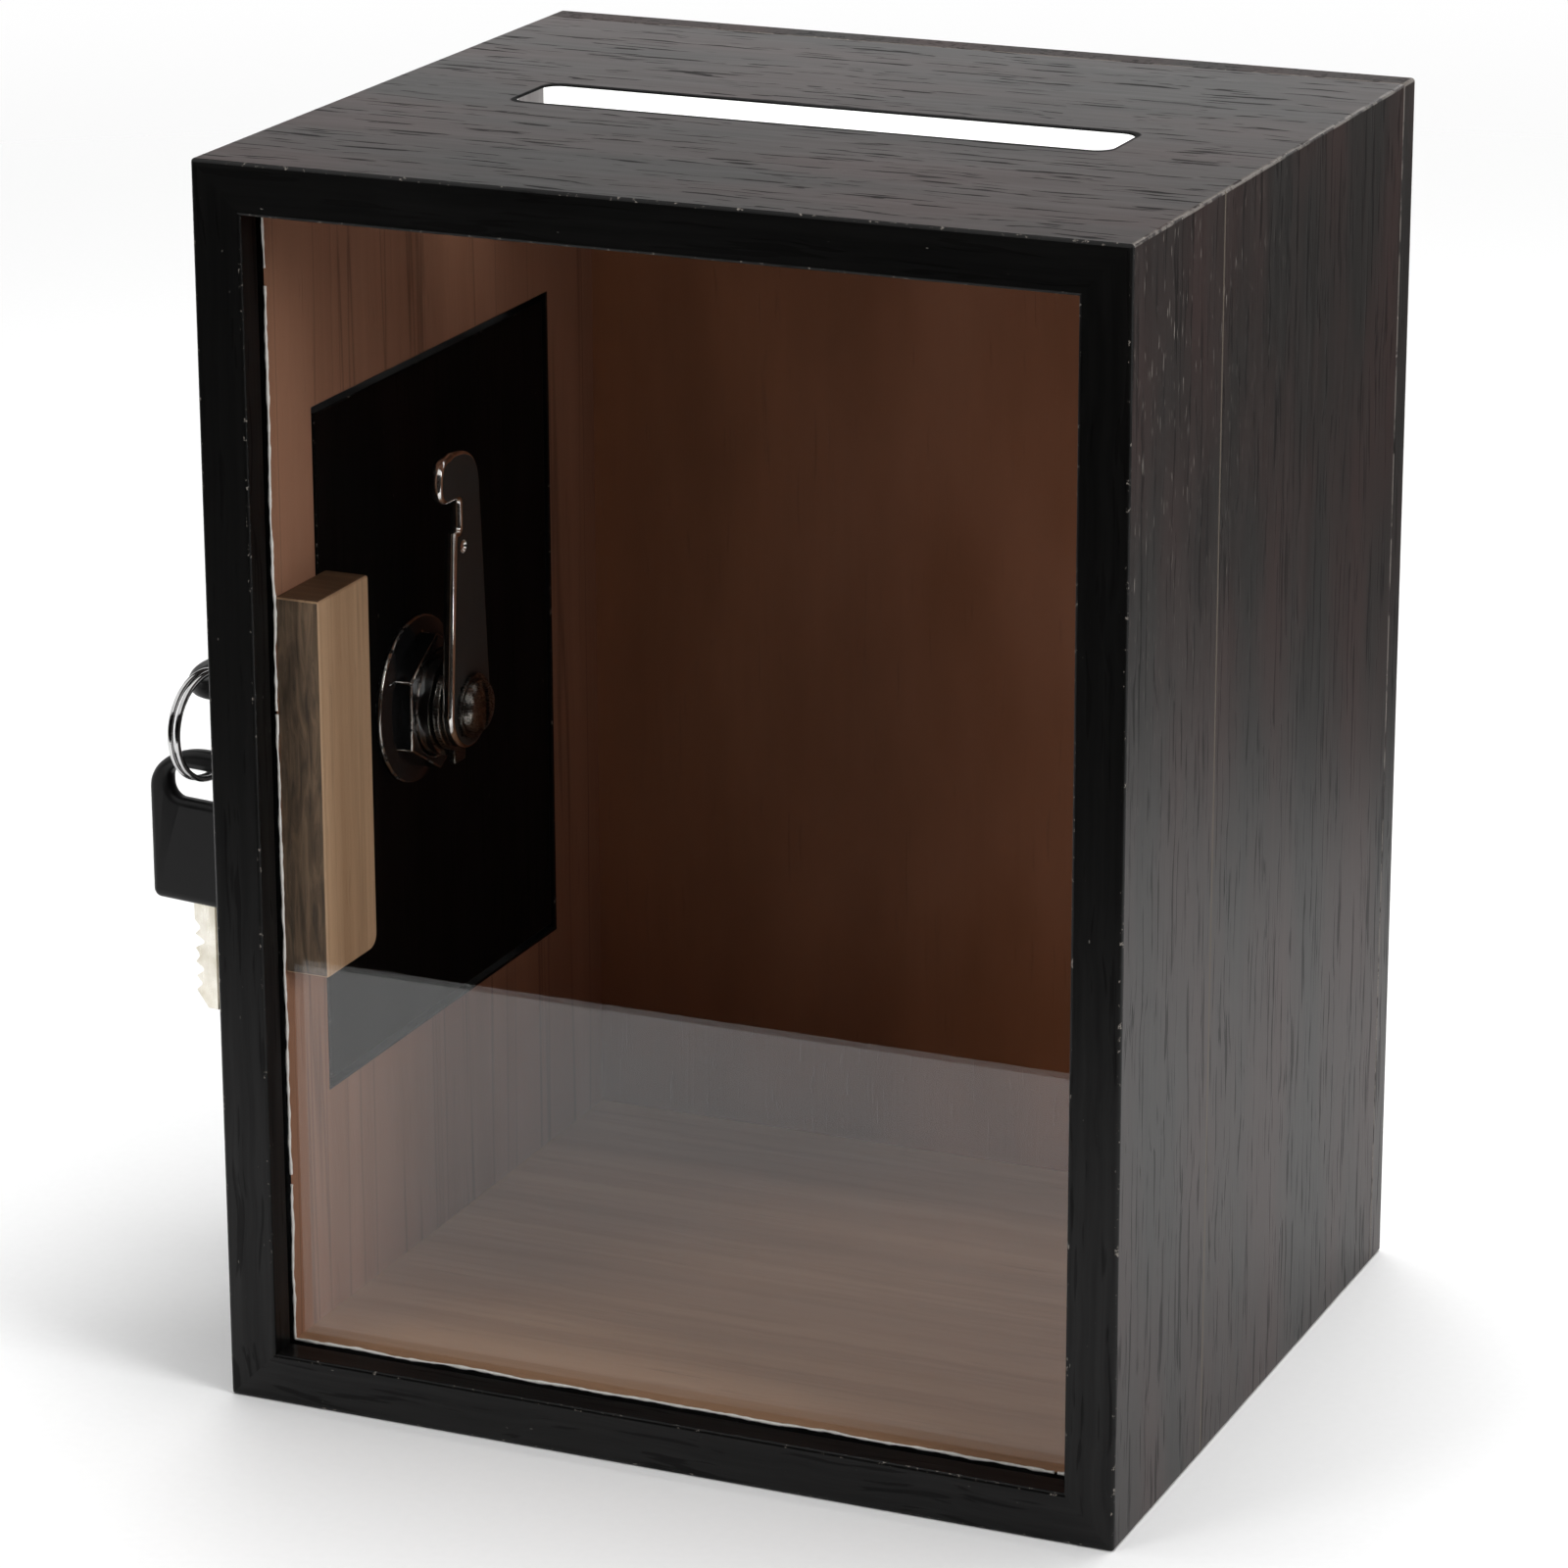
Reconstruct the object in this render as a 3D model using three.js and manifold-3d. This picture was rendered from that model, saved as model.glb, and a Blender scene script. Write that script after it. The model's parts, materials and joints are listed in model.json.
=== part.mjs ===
// Money box with an acrylic window: a black-stained wooden case with a long slot in the top,
// a clear sheet in front, and an access door in the left side with a cam lock and two keys.
// Millimetres, +Z up, front towards -Y. The origin is the middle of the case's bottom face.
// The lock is drawn unlocked, with its cam upright, so the door is free to swing.

import * as THREE from 'three';
import { mergeVertices } from 'three/addons/utils/BufferGeometryUtils.js';
import Module from 'manifold-3d';

const wasm = await Module();
wasm.setup();

// Driving dimensions: clearances
const FIT = 0.3; // a piece in its groove, bore or hole, and beside a piece that moves
const DOOR_GAP = 1.2; // round the edges of the door

// Driving dimensions: case
const CASE_WIDTH = 157;
const CASE_DEPTH = 135;
const CASE_HEIGHT = 210;
const PANEL = 8.5; // thickness of the four mitred panels
const BACK_PANEL = 6;
const SLOT_LENGTH = 104;
const SLOT_WIDTH = 14.5;
const SLOT_CORNER = 3;

// Driving dimensions: acrylic window
const WINDOW_SHEET = 2.5;
const WINDOW_SETBACK = 5.5; // from the case's front edges to the sheet
const GROOVE_DEPTH = 3;

// Driving dimensions: strike block and door
const BLOCK_THICKNESS = 8;
const BLOCK_DEPTH = 17.5;
const BLOCK_HEIGHT = 64;
const BLOCK_DROP = 1.2; // the block's middle below the lock's axis
const BLOCK_WINDOW_GAP = 0.5;
const DOOR_BEHIND_BLOCK = 1.8; // how far the block laps the door's front edge
const DOOR_REAR_MARGIN = 19.8;
const DOOR_TOP_MARGIN = 45.9;
const DOOR_BOTTOM_MARGIN = 49.4;

// Driving dimensions: butt hinges
const HINGE_HEIGHT = 26;
const HINGE_INSET = 24; // from the door's top or bottom edge to the hinge's middle
const LEAF_WIDTH = 12;
const LEAF_SHEET = 1;
const PIN_RADIUS = 1;
const KNUCKLE_WALL = 0.9;
const PIN_CAP_RADIUS = 1.8;
const PIN_CAP = 0.9;
const SCREW_SHANK_RADIUS = 1;
const SCREW_LENGTH = 6;
const SCREW_HEAD_RADIUS = 2.1;
const SCREW_TOP_RADIUS = 1.5;
const SCREW_HEAD = 0.8;
const SCREW_RIM = 0.4;
const SCREW_SLOT_WIDTH = 0.6;
const SCREW_SLOT_DEPTH = 0.4;
const SCREW_SPACING = 15;

// Driving dimensions: cam lock
const PLUG_RADIUS = 6;
const PLUG_PROUD = 0.3;
const PLUG_SQUARE_INSET = 0.34; // from the core's round to the corners of its square
const BARREL_WALL = 2.7;
const FLANGE = 2;
const FLANGE_LAP = 2.5; // beyond the barrel
const FLANGE_EASE = 1;
const KEYWAY_END_WALL = 0.9; // between the keyway and the cam screw's hole
const NUT = 5;
const NUT_WALL = 1.1; // at the flats of the hexagon
const NUT_FLANGE = 1;
const NUT_FLANGE_LAP = 2.5; // beyond the corners of the hexagon
const STOP_WASHER = 1.2;
const STOP_WASHER_RADIUS = 8;
const STOP_TAB_REACH = 2.2;
const STOP_TAB_WIDTH = 4;
const CAM_CLEARANCE = 0.4; // between the cam and the strike block
const CAM_SHEET = 2.4;
const CAM_REACH = 45; // from the axis to the front of the hook
const CAM_END_RADIUS = 7.4;
const CAM_WIDTH_AT_NOTCH = 9.6;
const CAM_EASE = 1; // rounding inside the notch
const HOOK_WIDTH = 8.3;
const HOOK_TIP = 9.9; // from the cam's middle line to the tip
const HOOK_TIP_ROUND = 3.5;
const HOOK_LEAN = 0.4; // how far the hook's front leans in at its tip
const NOTCH_WIDTH = 5.6;
const NOTCH_FLOOR = 2.8; // from the cam's middle line to the floor of the notch
const HOOK_WINDOW_GAP = 4.1;
const CAM_WASHER = 0.7;
const CAM_WASHER_RADIUS = 5.6;
const CAM_SCREW_HEAD = 2.2;
const CAM_SCREW_HEAD_RADIUS = 4.8;
const CAM_SCREW_TOP_RADIUS = 2.9;
const CAM_SCREW_RIM = 0.9;
const CAM_SCREW_RADIUS = 2;
const CAM_SCREW_LENGTH = 5;
const CAM_SCREW_SLOT_WIDTH = 1.2;
const CAM_SCREW_SLOT_DEPTH = 1;

// Driving dimensions: keys
const HEAD_WIDTH = 24;
const HEAD_LENGTH = 28;
const HEAD_ARCH = 8;
const HEAD_WALL = 0.45; // over the blade's tang
const HEAD_EDGE = 1; // rounding of the head's edges
const HEAD_CORNER = 1.6;
const HEAD_SIDE_RIM = 4.2;
const HEAD_TOP_RIM = 3.6;
const HEAD_HOLE_HEIGHT = 5.6;
const HEAD_HOLE_CORNER = 2.4;
const BLADE_WIDTH = 7.2;
const BLADE_SHEET = 1.7;
const BLADE_TANG = 9; // the part of the blade inside the head
const KEY_EXPOSED = 2.9; // between the lock's face and the head
const BLADE_TIP = 3;
const BITTING_DEPTHS = [1.1, 1.9, 0.8, 1.6, 1.2];
const BITTING_FLANK = 0.4; // share of a cut that each of its two flanks takes

// Driving dimensions: split ring
const RING_DIAMETER = 19.6;
const RING_WIRE = 1;
const RING_GAP = 0.45; // between its two turns
const RING_TURN = THREE.MathUtils.degToRad(8); // how far its plane is turned from the side wall's
const RING_CRANK_AT = THREE.MathUtils.degToRad(-10); // where the wire steps to its other turn
const RING_CRANK = THREE.MathUtils.degToRad(25); // half the angle that the step takes
const RING_REST = 0.1; // between the wire and the head's rim as the ring rolls round it
const SPARE_REST = 0.5; // between the wire and the spare key's rim

// Fineness of round shapes
const ROUND = 32;
const SMALL_ROUND = 16;
const HEAD_ROUND = 5;
const WIRE_SIDES = 8;
const RING_STEPS_PER_TURN = 28;
const WELD = 1e-4; // corners nearer than this are one corner

// Sizes that follow from those
const knuckleRadius = PIN_RADIUS + FIT + KNUCKLE_WALL;
const plugSquare = (PLUG_RADIUS - PLUG_SQUARE_INSET) * Math.SQRT2;
const barrelRadius = PLUG_RADIUS + FIT + BARREL_WALL;
const flangeRadius = barrelRadius + FLANGE_LAP;
const nutRadius = (barrelRadius + FIT + NUT_WALL) / Math.cos(Math.PI / 6);
const nutFlangeRadius = nutRadius + NUT_FLANGE_LAP;
const headThickness = BLADE_SHEET + 2 * (FIT + HEAD_WALL);
const ringPitch = RING_WIRE + RING_GAP;

// Places along X, from the outside of the left wall inwards
const wallOuter = -CASE_WIDTH / 2;
const wallInner = wallOuter + PANEL;
const doorInner = wallInner - FIT;
const blockInner = wallInner + BLOCK_THICKNESS;
const camOuter = blockInner + CAM_CLEARANCE;
const camInner = camOuter + CAM_SHEET;
const stopOuter = camOuter - STOP_WASHER;
const barrelEnd = stopOuter - FIT;
const washerInner = camInner + CAM_WASHER;
const plugFace = wallOuter - FLANGE - PLUG_PROUD;
const squareEnd = camInner - FIT;
const screwHoleEnd = washerInner - CAM_SCREW_LENGTH - FIT;
const keywayEnd = screwHoleEnd - KEYWAY_END_WALL;
const hingeX = wallOuter - knuckleRadius;
const keyShoulder = plugFace - KEY_EXPOSED;

// Places along Y, from the front backwards
const caseFront = -CASE_DEPTH / 2;
const panelsBack = CASE_DEPTH / 2 - BACK_PANEL;
const windowFront = caseFront + WINDOW_SETBACK;
const windowBack = windowFront + WINDOW_SHEET;
const blockFront = windowBack + BLOCK_WINDOW_GAP;
const blockBack = blockFront + BLOCK_DEPTH;
const doorFront = blockBack - DOOR_BEHIND_BLOCK;
const doorRear = panelsBack - DOOR_REAR_MARGIN;
const hingeY = doorRear + DOOR_GAP / 2;
const lockY = windowBack + HOOK_WINDOW_GAP + CAM_REACH;

// Places along Z, from the bottom upwards
const doorBottom = DOOR_BOTTOM_MARGIN;
const doorTop = CASE_HEIGHT - DOOR_TOP_MARGIN;
const lockZ = (doorBottom + doorTop) / 2;
const blockMiddle = lockZ - BLOCK_DROP;
const hingeHeights = { lower: doorBottom + HINGE_INSET, upper: doorTop - HINGE_INSET };

// Finishes
const FINISHES = {
  stainedWood: { color: 0x2b2826, roughness: 0.6, metalness: 0 },
  paleWood: { color: 0x9a7a56, roughness: 0.7, metalness: 0 },
  clearAcrylic: { color: 0xf2f6f6, roughness: 0.08, metalness: 0, transparent: true, opacity: 0.2 },
  blackSteel: { color: 0x1c1c1e, roughness: 0.35, metalness: 0.9 },
  brightSteel: { color: 0xb8b8ba, roughness: 0.25, metalness: 1 },
  darkSteel: { color: 0x46474a, roughness: 0.3, metalness: 1 },
  nickel: { color: 0xd9d2bf, roughness: 0.3, metalness: 1 },
  blackPlastic: { color: 0x18181a, roughness: 0.45, metalness: 0 },
};

// Solids and meshes

function withoutSlivers(index) {
  const kept = [];
  for (let i = 0; i < index.length; i += 3) {
    const [a, b, c] = [index[i], index[i + 1], index[i + 2]];
    if (a !== b && b !== c && c !== a) kept.push(a, b, c);
  }
  return new Uint32Array(kept);
}

function solid(geometry) {
  const bare = geometry.clone();
  bare.deleteAttribute('normal');
  bare.deleteAttribute('uv');
  const welded = mergeVertices(bare, WELD);
  return new wasm.Manifold(new wasm.Mesh({
    numProp: 3,
    vertProperties: new Float32Array(welded.getAttribute('position').array),
    triVerts: withoutSlivers(welded.getIndex().array),
  }));
}

function piece(name, finish, shape) {
  const { vertProperties, triVerts } = shape.getMesh();
  const geometry = new THREE.BufferGeometry();
  geometry.setAttribute('position', new THREE.BufferAttribute(new Float32Array(vertProperties), 3));
  geometry.setIndex(new THREE.BufferAttribute(new Uint32Array(triVerts), 1));
  geometry.computeVertexNormals();
  const mesh = new THREE.Mesh(geometry, new THREE.MeshStandardMaterial(FINISHES[finish]));
  mesh.name = name;
  return mesh;
}

// Plain shapes, placed along the case's axes

function block([x0, x1], [y0, y1], [z0, z1]) {
  const geometry = new THREE.BoxGeometry(x1 - x0, y1 - y0, z1 - z0);
  geometry.translate((x0 + x1) / 2, (y0 + y1) / 2, (z0 + z1) / 2);
  return solid(geometry);
}

function extruded(shape, depth, options = {}) {
  return new THREE.ExtrudeGeometry(shape, {
    depth, bevelEnabled: false, curveSegments: SMALL_ROUND, ...options,
  });
}

// An outline in Y and Z, drawn out along X.
function alongX(shape, x0, x1) {
  const turn = new THREE.Matrix4().makeBasis(
    new THREE.Vector3(0, 1, 0), new THREE.Vector3(0, 0, 1), new THREE.Vector3(1, 0, 0),
  );
  return solid(extruded(shape, x1 - x0).applyMatrix4(turn).translate(x0, 0, 0));
}

// An outline in X and Z, drawn out along Y.
function alongY(shape, y0, y1) {
  return solid(extruded(shape, y1 - y0).rotateX(Math.PI / 2).translate(0, y1, 0));
}

// An outline in X and Y, drawn out along Z.
function alongZ(shape, z0, z1) {
  return solid(extruded(shape, z1 - z0).translate(0, 0, z0));
}

// A closed profile of [radius, distance] corners, turned about a line along X or Z.
function turned(profile, segments) {
  const corners = profile.map(([radius, distance]) => new THREE.Vector2(radius, distance));
  return new THREE.LatheGeometry(corners, segments);
}

function turnedX(profile, y, z, segments = ROUND) {
  return solid(turned(profile, segments).rotateZ(-Math.PI / 2).translate(0, y, z));
}

function turnedZ(profile, x, y, segments = ROUND) {
  return solid(turned(profile, segments).rotateX(Math.PI / 2).translate(x, y, 0));
}

function rod(radius, from, to) {
  return [[0, from], [radius, from], [radius, to], [0, to]];
}

function sleeve(inner, outer, from, to) {
  return [[inner, from], [outer, from], [outer, to], [inner, to], [inner, from]];
}

function outline(points) {
  return new THREE.Shape(points.map(([x, y]) => new THREE.Vector2(x, y)));
}

function roundedRectangle(width, height, radius, middleX = 0, middleY = 0) {
  const [x, y] = [width / 2 - radius, height / 2 - radius];
  const shape = new THREE.Shape();
  shape.absarc(middleX + x, middleY + y, radius, 0, Math.PI / 2);
  shape.absarc(middleX - x, middleY + y, radius, Math.PI / 2, Math.PI);
  shape.absarc(middleX - x, middleY - y, radius, Math.PI, 1.5 * Math.PI);
  shape.absarc(middleX + x, middleY - y, radius, 1.5 * Math.PI, 2 * Math.PI);
  return shape;
}

// Case

const caseCorners = {
  topLeft: [wallOuter, CASE_HEIGHT],
  topRight: [-wallOuter, CASE_HEIGHT],
  bottomLeft: [wallOuter, 0],
  bottomRight: [-wallOuter, 0],
};
const roomCorners = {
  topLeft: [wallInner, CASE_HEIGHT - PANEL],
  topRight: [-wallInner, CASE_HEIGHT - PANEL],
  bottomLeft: [wallInner, PANEL],
  bottomRight: [-wallInner, PANEL],
};

// The groove for the window, as one slab that is cut from all four panels.
const windowGroove = block(
  [wallInner - GROOVE_DEPTH, -wallInner + GROOVE_DEPTH],
  [windowFront - FIT, windowBack + FIT],
  [PANEL - GROOVE_DEPTH, CASE_HEIGHT - PANEL + GROOVE_DEPTH],
);

function mitredPanel(from, to) {
  const corners = [caseCorners[from], roomCorners[from], roomCorners[to], caseCorners[to]];
  return alongY(outline(corners), caseFront, panelsBack).subtract(windowGroove);
}

function topPanel() {
  const slot = roundedRectangle(SLOT_LENGTH, SLOT_WIDTH, SLOT_CORNER);
  const cut = alongZ(slot, CASE_HEIGHT - PANEL - FIT, CASE_HEIGHT + FIT);
  return mitredPanel('topLeft', 'topRight').subtract(cut);
}

function screwHoles(places) {
  const [mouth, end] = [wallOuter - LEAF_SHEET - FIT, wallOuter + SCREW_LENGTH + FIT];
  const hole = rod(SCREW_SHANK_RADIUS + FIT, mouth, end);
  return places.map(([y, z]) => turnedX(hole, y, z, SMALL_ROUND));
}

function cutAll(shape, cuts) {
  return cuts.reduce((left, cut) => left.subtract(cut), shape);
}

function leftSidePanel() {
  const opening = block(
    [wallOuter - FIT, wallInner + FIT],
    [doorFront - DOOR_GAP, doorRear + DOOR_GAP],
    [doorBottom - DOOR_GAP, doorTop + DOOR_GAP],
  );
  const panel = mitredPanel('bottomLeft', 'topLeft').subtract(opening);
  return cutAll(panel, screwHoles(screwPlaces('wall')));
}

function acrylicWindow() {
  const hidden = GROOVE_DEPTH - FIT;
  return block(
    [wallInner - hidden, -wallInner + hidden],
    [windowFront, windowBack],
    [PANEL - hidden, CASE_HEIGHT - PANEL + hidden],
  );
}

function strikeBlock() {
  const z = [blockMiddle - BLOCK_HEIGHT / 2, blockMiddle + BLOCK_HEIGHT / 2];
  return block([wallInner, blockInner], [blockFront, blockBack], z);
}

// Door and hinges

function accessDoor() {
  const panel = block([wallOuter, doorInner], [doorFront, doorRear], [doorBottom, doorTop]);
  const lockHole = rod(barrelRadius + FIT, wallOuter - FIT, doorInner + FIT);
  return cutAll(panel.subtract(turnedX(lockHole, lockY, lockZ)), screwHoles(screwPlaces('door')));
}

// The wall's leaves lie behind the hinge line, towards +Y, and the door's in front of it.
function leafDirection(side) {
  return side === 'wall' ? 1 : -1;
}

function span(a, b) {
  return [Math.min(a, b), Math.max(a, b)];
}

function screwPlaces(side) {
  const y = hingeY + leafDirection(side) * (knuckleRadius + FIT + LEAF_WIDTH / 2);
  return Object.values(hingeHeights).flatMap((z) => [
    [y, z - SCREW_SPACING / 2],
    [y, z + SCREW_SPACING / 2],
  ]);
}

// The wall's leaf holds the two outer knuckles, and the door's leaf holds the middle one.
function knuckleSpans(side, middle) {
  const third = (HINGE_HEIGHT - 2 * FIT) / 3;
  const [low, high] = [middle - HINGE_HEIGHT / 2, middle + HINGE_HEIGHT / 2];
  if (side === 'door') return [[low + third + FIT, high - third - FIT]];
  return [[low, low + third], [high - third, high]];
}

function hingeLeaf(side, middle) {
  const direction = leafDirection(side);
  const sheet = [wallOuter - LEAF_SHEET, wallOuter];
  const near = hingeY + direction * (knuckleRadius + FIT);
  const far = near + direction * LEAF_WIDTH;
  let leaf = block(sheet, span(near, far), [middle - HINGE_HEIGHT / 2, middle + HINGE_HEIGHT / 2]);
  for (const [low, high] of knuckleSpans(side, middle)) {
    leaf = leaf.add(block(sheet, span(hingeY, near), [low, high]));
    leaf = leaf.add(turnedZ(rod(knuckleRadius, low, high), hingeX, hingeY));
    leaf = leaf.subtract(turnedZ(rod(PIN_RADIUS + FIT, low - FIT, high + FIT), hingeX, hingeY));
  }
  return cutAll(leaf, screwHoles(screwPlaces(side)));
}

function hingePin(middle) {
  const [low, high] = [middle - HINGE_HEIGHT / 2, middle + HINGE_HEIGHT / 2];
  const profile = [
    [0, low], [PIN_RADIUS, low], [PIN_RADIUS, high],
    [PIN_CAP_RADIUS, high], [PIN_CAP_RADIUS, high + PIN_CAP / 2],
    [PIN_CAP_RADIUS / 2, high + PIN_CAP], [0, high + PIN_CAP],
  ];
  return turnedZ(profile, hingeX, hingeY, SMALL_ROUND);
}

function hingeScrew([y, z]) {
  const seat = wallOuter - LEAF_SHEET;
  const top = seat - SCREW_HEAD;
  const profile = [
    [0, top], [SCREW_TOP_RADIUS, top], [SCREW_HEAD_RADIUS, seat - SCREW_RIM],
    [SCREW_HEAD_RADIUS, seat], [SCREW_SHANK_RADIUS, seat],
    [SCREW_SHANK_RADIUS, wallOuter + SCREW_LENGTH - SCREW_SHANK_RADIUS], [0, wallOuter + SCREW_LENGTH],
  ];
  const slot = block(
    [top - FIT, top + SCREW_SLOT_DEPTH],
    [y - SCREW_HEAD_RADIUS, y + SCREW_HEAD_RADIUS],
    [z - SCREW_SLOT_WIDTH / 2, z + SCREW_SLOT_WIDTH / 2],
  );
  return turnedX(profile, y, z, SMALL_ROUND).subtract(slot);
}

// Cam lock

function lockHousing() {
  const bore = PLUG_RADIUS + FIT;
  const flangeFace = wallOuter - FLANGE;
  return turnedX([
    [bore, flangeFace], [flangeRadius - FLANGE_EASE, flangeFace], [flangeRadius, flangeFace + FLANGE_EASE],
    [flangeRadius, wallOuter], [barrelRadius, wallOuter],
    [barrelRadius, barrelEnd], [bore, barrelEnd], [bore, flangeFace],
  ], lockY, lockZ);
}

function lockNut() {
  const seat = doorInner;
  const skirt = turnedX([
    [0, seat], [nutFlangeRadius, seat], [nutFlangeRadius, seat + NUT_FLANGE],
    [nutRadius, seat + 2 * NUT_FLANGE], [0, seat + 2 * NUT_FLANGE],
  ], lockY, lockZ);
  const hexagon = turnedX(rod(nutRadius, seat + NUT_FLANGE, seat + NUT), lockY, lockZ, 6);
  const bore = turnedX(rod(barrelRadius + FIT, seat - FIT, seat + NUT + FIT), lockY, lockZ);
  return skirt.add(hexagon).subtract(bore);
}

function squareOnAxis(size, x0, x1) {
  return block([x0, x1], [lockY - size / 2, lockY + size / 2], [lockZ - size / 2, lockZ + size / 2]);
}

function lockPlug() {
  const core = turnedX(rod(PLUG_RADIUS, plugFace, barrelEnd), lockY, lockZ);
  const keyway = block(
    [plugFace - FIT, keywayEnd],
    [lockY - BLADE_WIDTH / 2 - FIT, lockY + BLADE_WIDTH / 2 + FIT],
    [lockZ - BLADE_SHEET / 2 - FIT, lockZ + BLADE_SHEET / 2 + FIT],
  );
  const screwBore = rod(CAM_SCREW_RADIUS + FIT, screwHoleEnd, squareEnd + FIT);
  const squared = core.add(squareOnAxis(plugSquare, barrelEnd - FIT, squareEnd));
  return cutAll(squared, [keyway, turnedX(screwBore, lockY, lockZ, SMALL_ROUND)]);
}

function stopWasher() {
  const disc = turnedX(rod(STOP_WASHER_RADIUS, stopOuter, camOuter), lockY, lockZ);
  const tab = block(
    [stopOuter, camOuter],
    [lockY - STOP_TAB_WIDTH / 2, lockY + STOP_TAB_WIDTH / 2],
    [lockZ - STOP_WASHER_RADIUS - STOP_TAB_REACH, lockZ - STOP_WASHER_RADIUS + STOP_TAB_REACH],
  );
  return disc.add(tab).subtract(squareOnAxis(plugSquare + 2 * FIT, stopOuter - FIT, camOuter + FIT));
}

// The cam's outline, with the arm along the first number and the hook towards the second.
function camOutline() {
  const hookInner = CAM_REACH - HOOK_WIDTH;
  const armEnd = hookInner - NOTCH_WIDTH;
  const armEdge = CAM_WIDTH_AT_NOTCH / 2;
  const heel = CAM_REACH - HOOK_TIP_ROUND / 2;
  const shape = new THREE.Shape();
  shape.absarc(0, 0, CAM_END_RADIUS, Math.PI / 2, 1.5 * Math.PI);
  shape.lineTo(hookInner, -armEdge);
  shape.bezierCurveTo(heel, -armEdge, CAM_REACH, -CAM_EASE, CAM_REACH, HOOK_TIP / 2);
  shape.lineTo(CAM_REACH - HOOK_LEAN, HOOK_TIP - HOOK_TIP_ROUND);
  shape.quadraticCurveTo(CAM_REACH - HOOK_LEAN, HOOK_TIP, hookInner + HOOK_TIP_ROUND, HOOK_TIP);
  shape.quadraticCurveTo(hookInner, HOOK_TIP, hookInner, HOOK_TIP - HOOK_TIP_ROUND);
  shape.lineTo(hookInner, NOTCH_FLOOR + CAM_EASE);
  shape.quadraticCurveTo(hookInner, NOTCH_FLOOR, hookInner - CAM_EASE, NOTCH_FLOOR);
  shape.lineTo(armEnd + CAM_EASE, NOTCH_FLOOR);
  shape.quadraticCurveTo(armEnd, NOTCH_FLOOR, armEnd, NOTCH_FLOOR + CAM_EASE);
  shape.lineTo(armEnd, armEdge);
  return shape;
}

// Upright at rest: the arm points up and the hook to the front.
function lockCam() {
  const upright = new THREE.Matrix4().makeBasis(
    new THREE.Vector3(0, 0, 1), new THREE.Vector3(0, -1, 0), new THREE.Vector3(1, 0, 0),
  );
  const sheet = extruded(camOutline(), CAM_SHEET).applyMatrix4(upright).translate(camOuter, lockY, lockZ);
  return solid(sheet).subtract(squareOnAxis(plugSquare + 2 * FIT, camOuter - FIT, camInner + FIT));
}

function camWasher() {
  return turnedX(sleeve(CAM_SCREW_RADIUS + FIT, CAM_WASHER_RADIUS, camInner, washerInner), lockY, lockZ);
}

function camScrew() {
  const top = washerInner + CAM_SCREW_HEAD;
  const screw = turnedX([
    [0, washerInner - CAM_SCREW_LENGTH], [CAM_SCREW_RADIUS, washerInner - CAM_SCREW_LENGTH],
    [CAM_SCREW_RADIUS, washerInner], [CAM_SCREW_HEAD_RADIUS, washerInner],
    [CAM_SCREW_HEAD_RADIUS, washerInner + CAM_SCREW_RIM],
    [CAM_SCREW_TOP_RADIUS, top], [0, top],
  ], lockY, lockZ);
  const slot = block(
    [top - CAM_SCREW_SLOT_DEPTH, top + FIT],
    [lockY - CAM_SCREW_SLOT_WIDTH / 2, lockY + CAM_SCREW_SLOT_WIDTH / 2],
    [lockZ - CAM_SCREW_HEAD_RADIUS, lockZ + CAM_SCREW_HEAD_RADIUS],
  );
  return screw.subtract(slot);
}

// Keys, drawn flat: X across the head, Y from the shoulder to the head's arch, Z through it.

const bladeReach = keywayEnd - FIT - keyShoulder; // from the shoulder to the blade's tip

function headOutline() {
  const half = HEAD_WIDTH / 2;
  const shoulder = HEAD_LENGTH - HEAD_ARCH;
  const shape = new THREE.Shape();
  shape.absarc(-half + HEAD_CORNER, HEAD_CORNER, HEAD_CORNER, Math.PI, 1.5 * Math.PI);
  shape.absarc(half - HEAD_CORNER, HEAD_CORNER, HEAD_CORNER, 1.5 * Math.PI, 2 * Math.PI);
  shape.absellipse(0, shoulder, half, HEAD_ARCH, 0, Math.PI);
  const holeMiddle = HEAD_LENGTH - HEAD_TOP_RIM - HEAD_HOLE_HEIGHT / 2;
  const holeWidth = HEAD_WIDTH - 2 * HEAD_SIDE_RIM;
  shape.holes.push(roundedRectangle(holeWidth, HEAD_HOLE_HEIGHT, HEAD_HOLE_CORNER, 0, holeMiddle));
  return shape;
}

function keyHead() {
  const core = headThickness - 2 * HEAD_EDGE;
  const plate = extruded(headOutline(), core, {
    bevelEnabled: true,
    bevelSize: HEAD_EDGE,
    bevelThickness: HEAD_EDGE,
    bevelOffset: -HEAD_EDGE,
    bevelSegments: 2,
    curveSegments: HEAD_ROUND,
  }).translate(0, 0, -core / 2);
  const pocket = block(
    [-BLADE_WIDTH / 2 - FIT, BLADE_WIDTH / 2 + FIT],
    [-FIT, BLADE_TANG + FIT],
    [-BLADE_SHEET / 2 - FIT, BLADE_SHEET / 2 + FIT],
  );
  return solid(plate).subtract(pocket);
}

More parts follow.
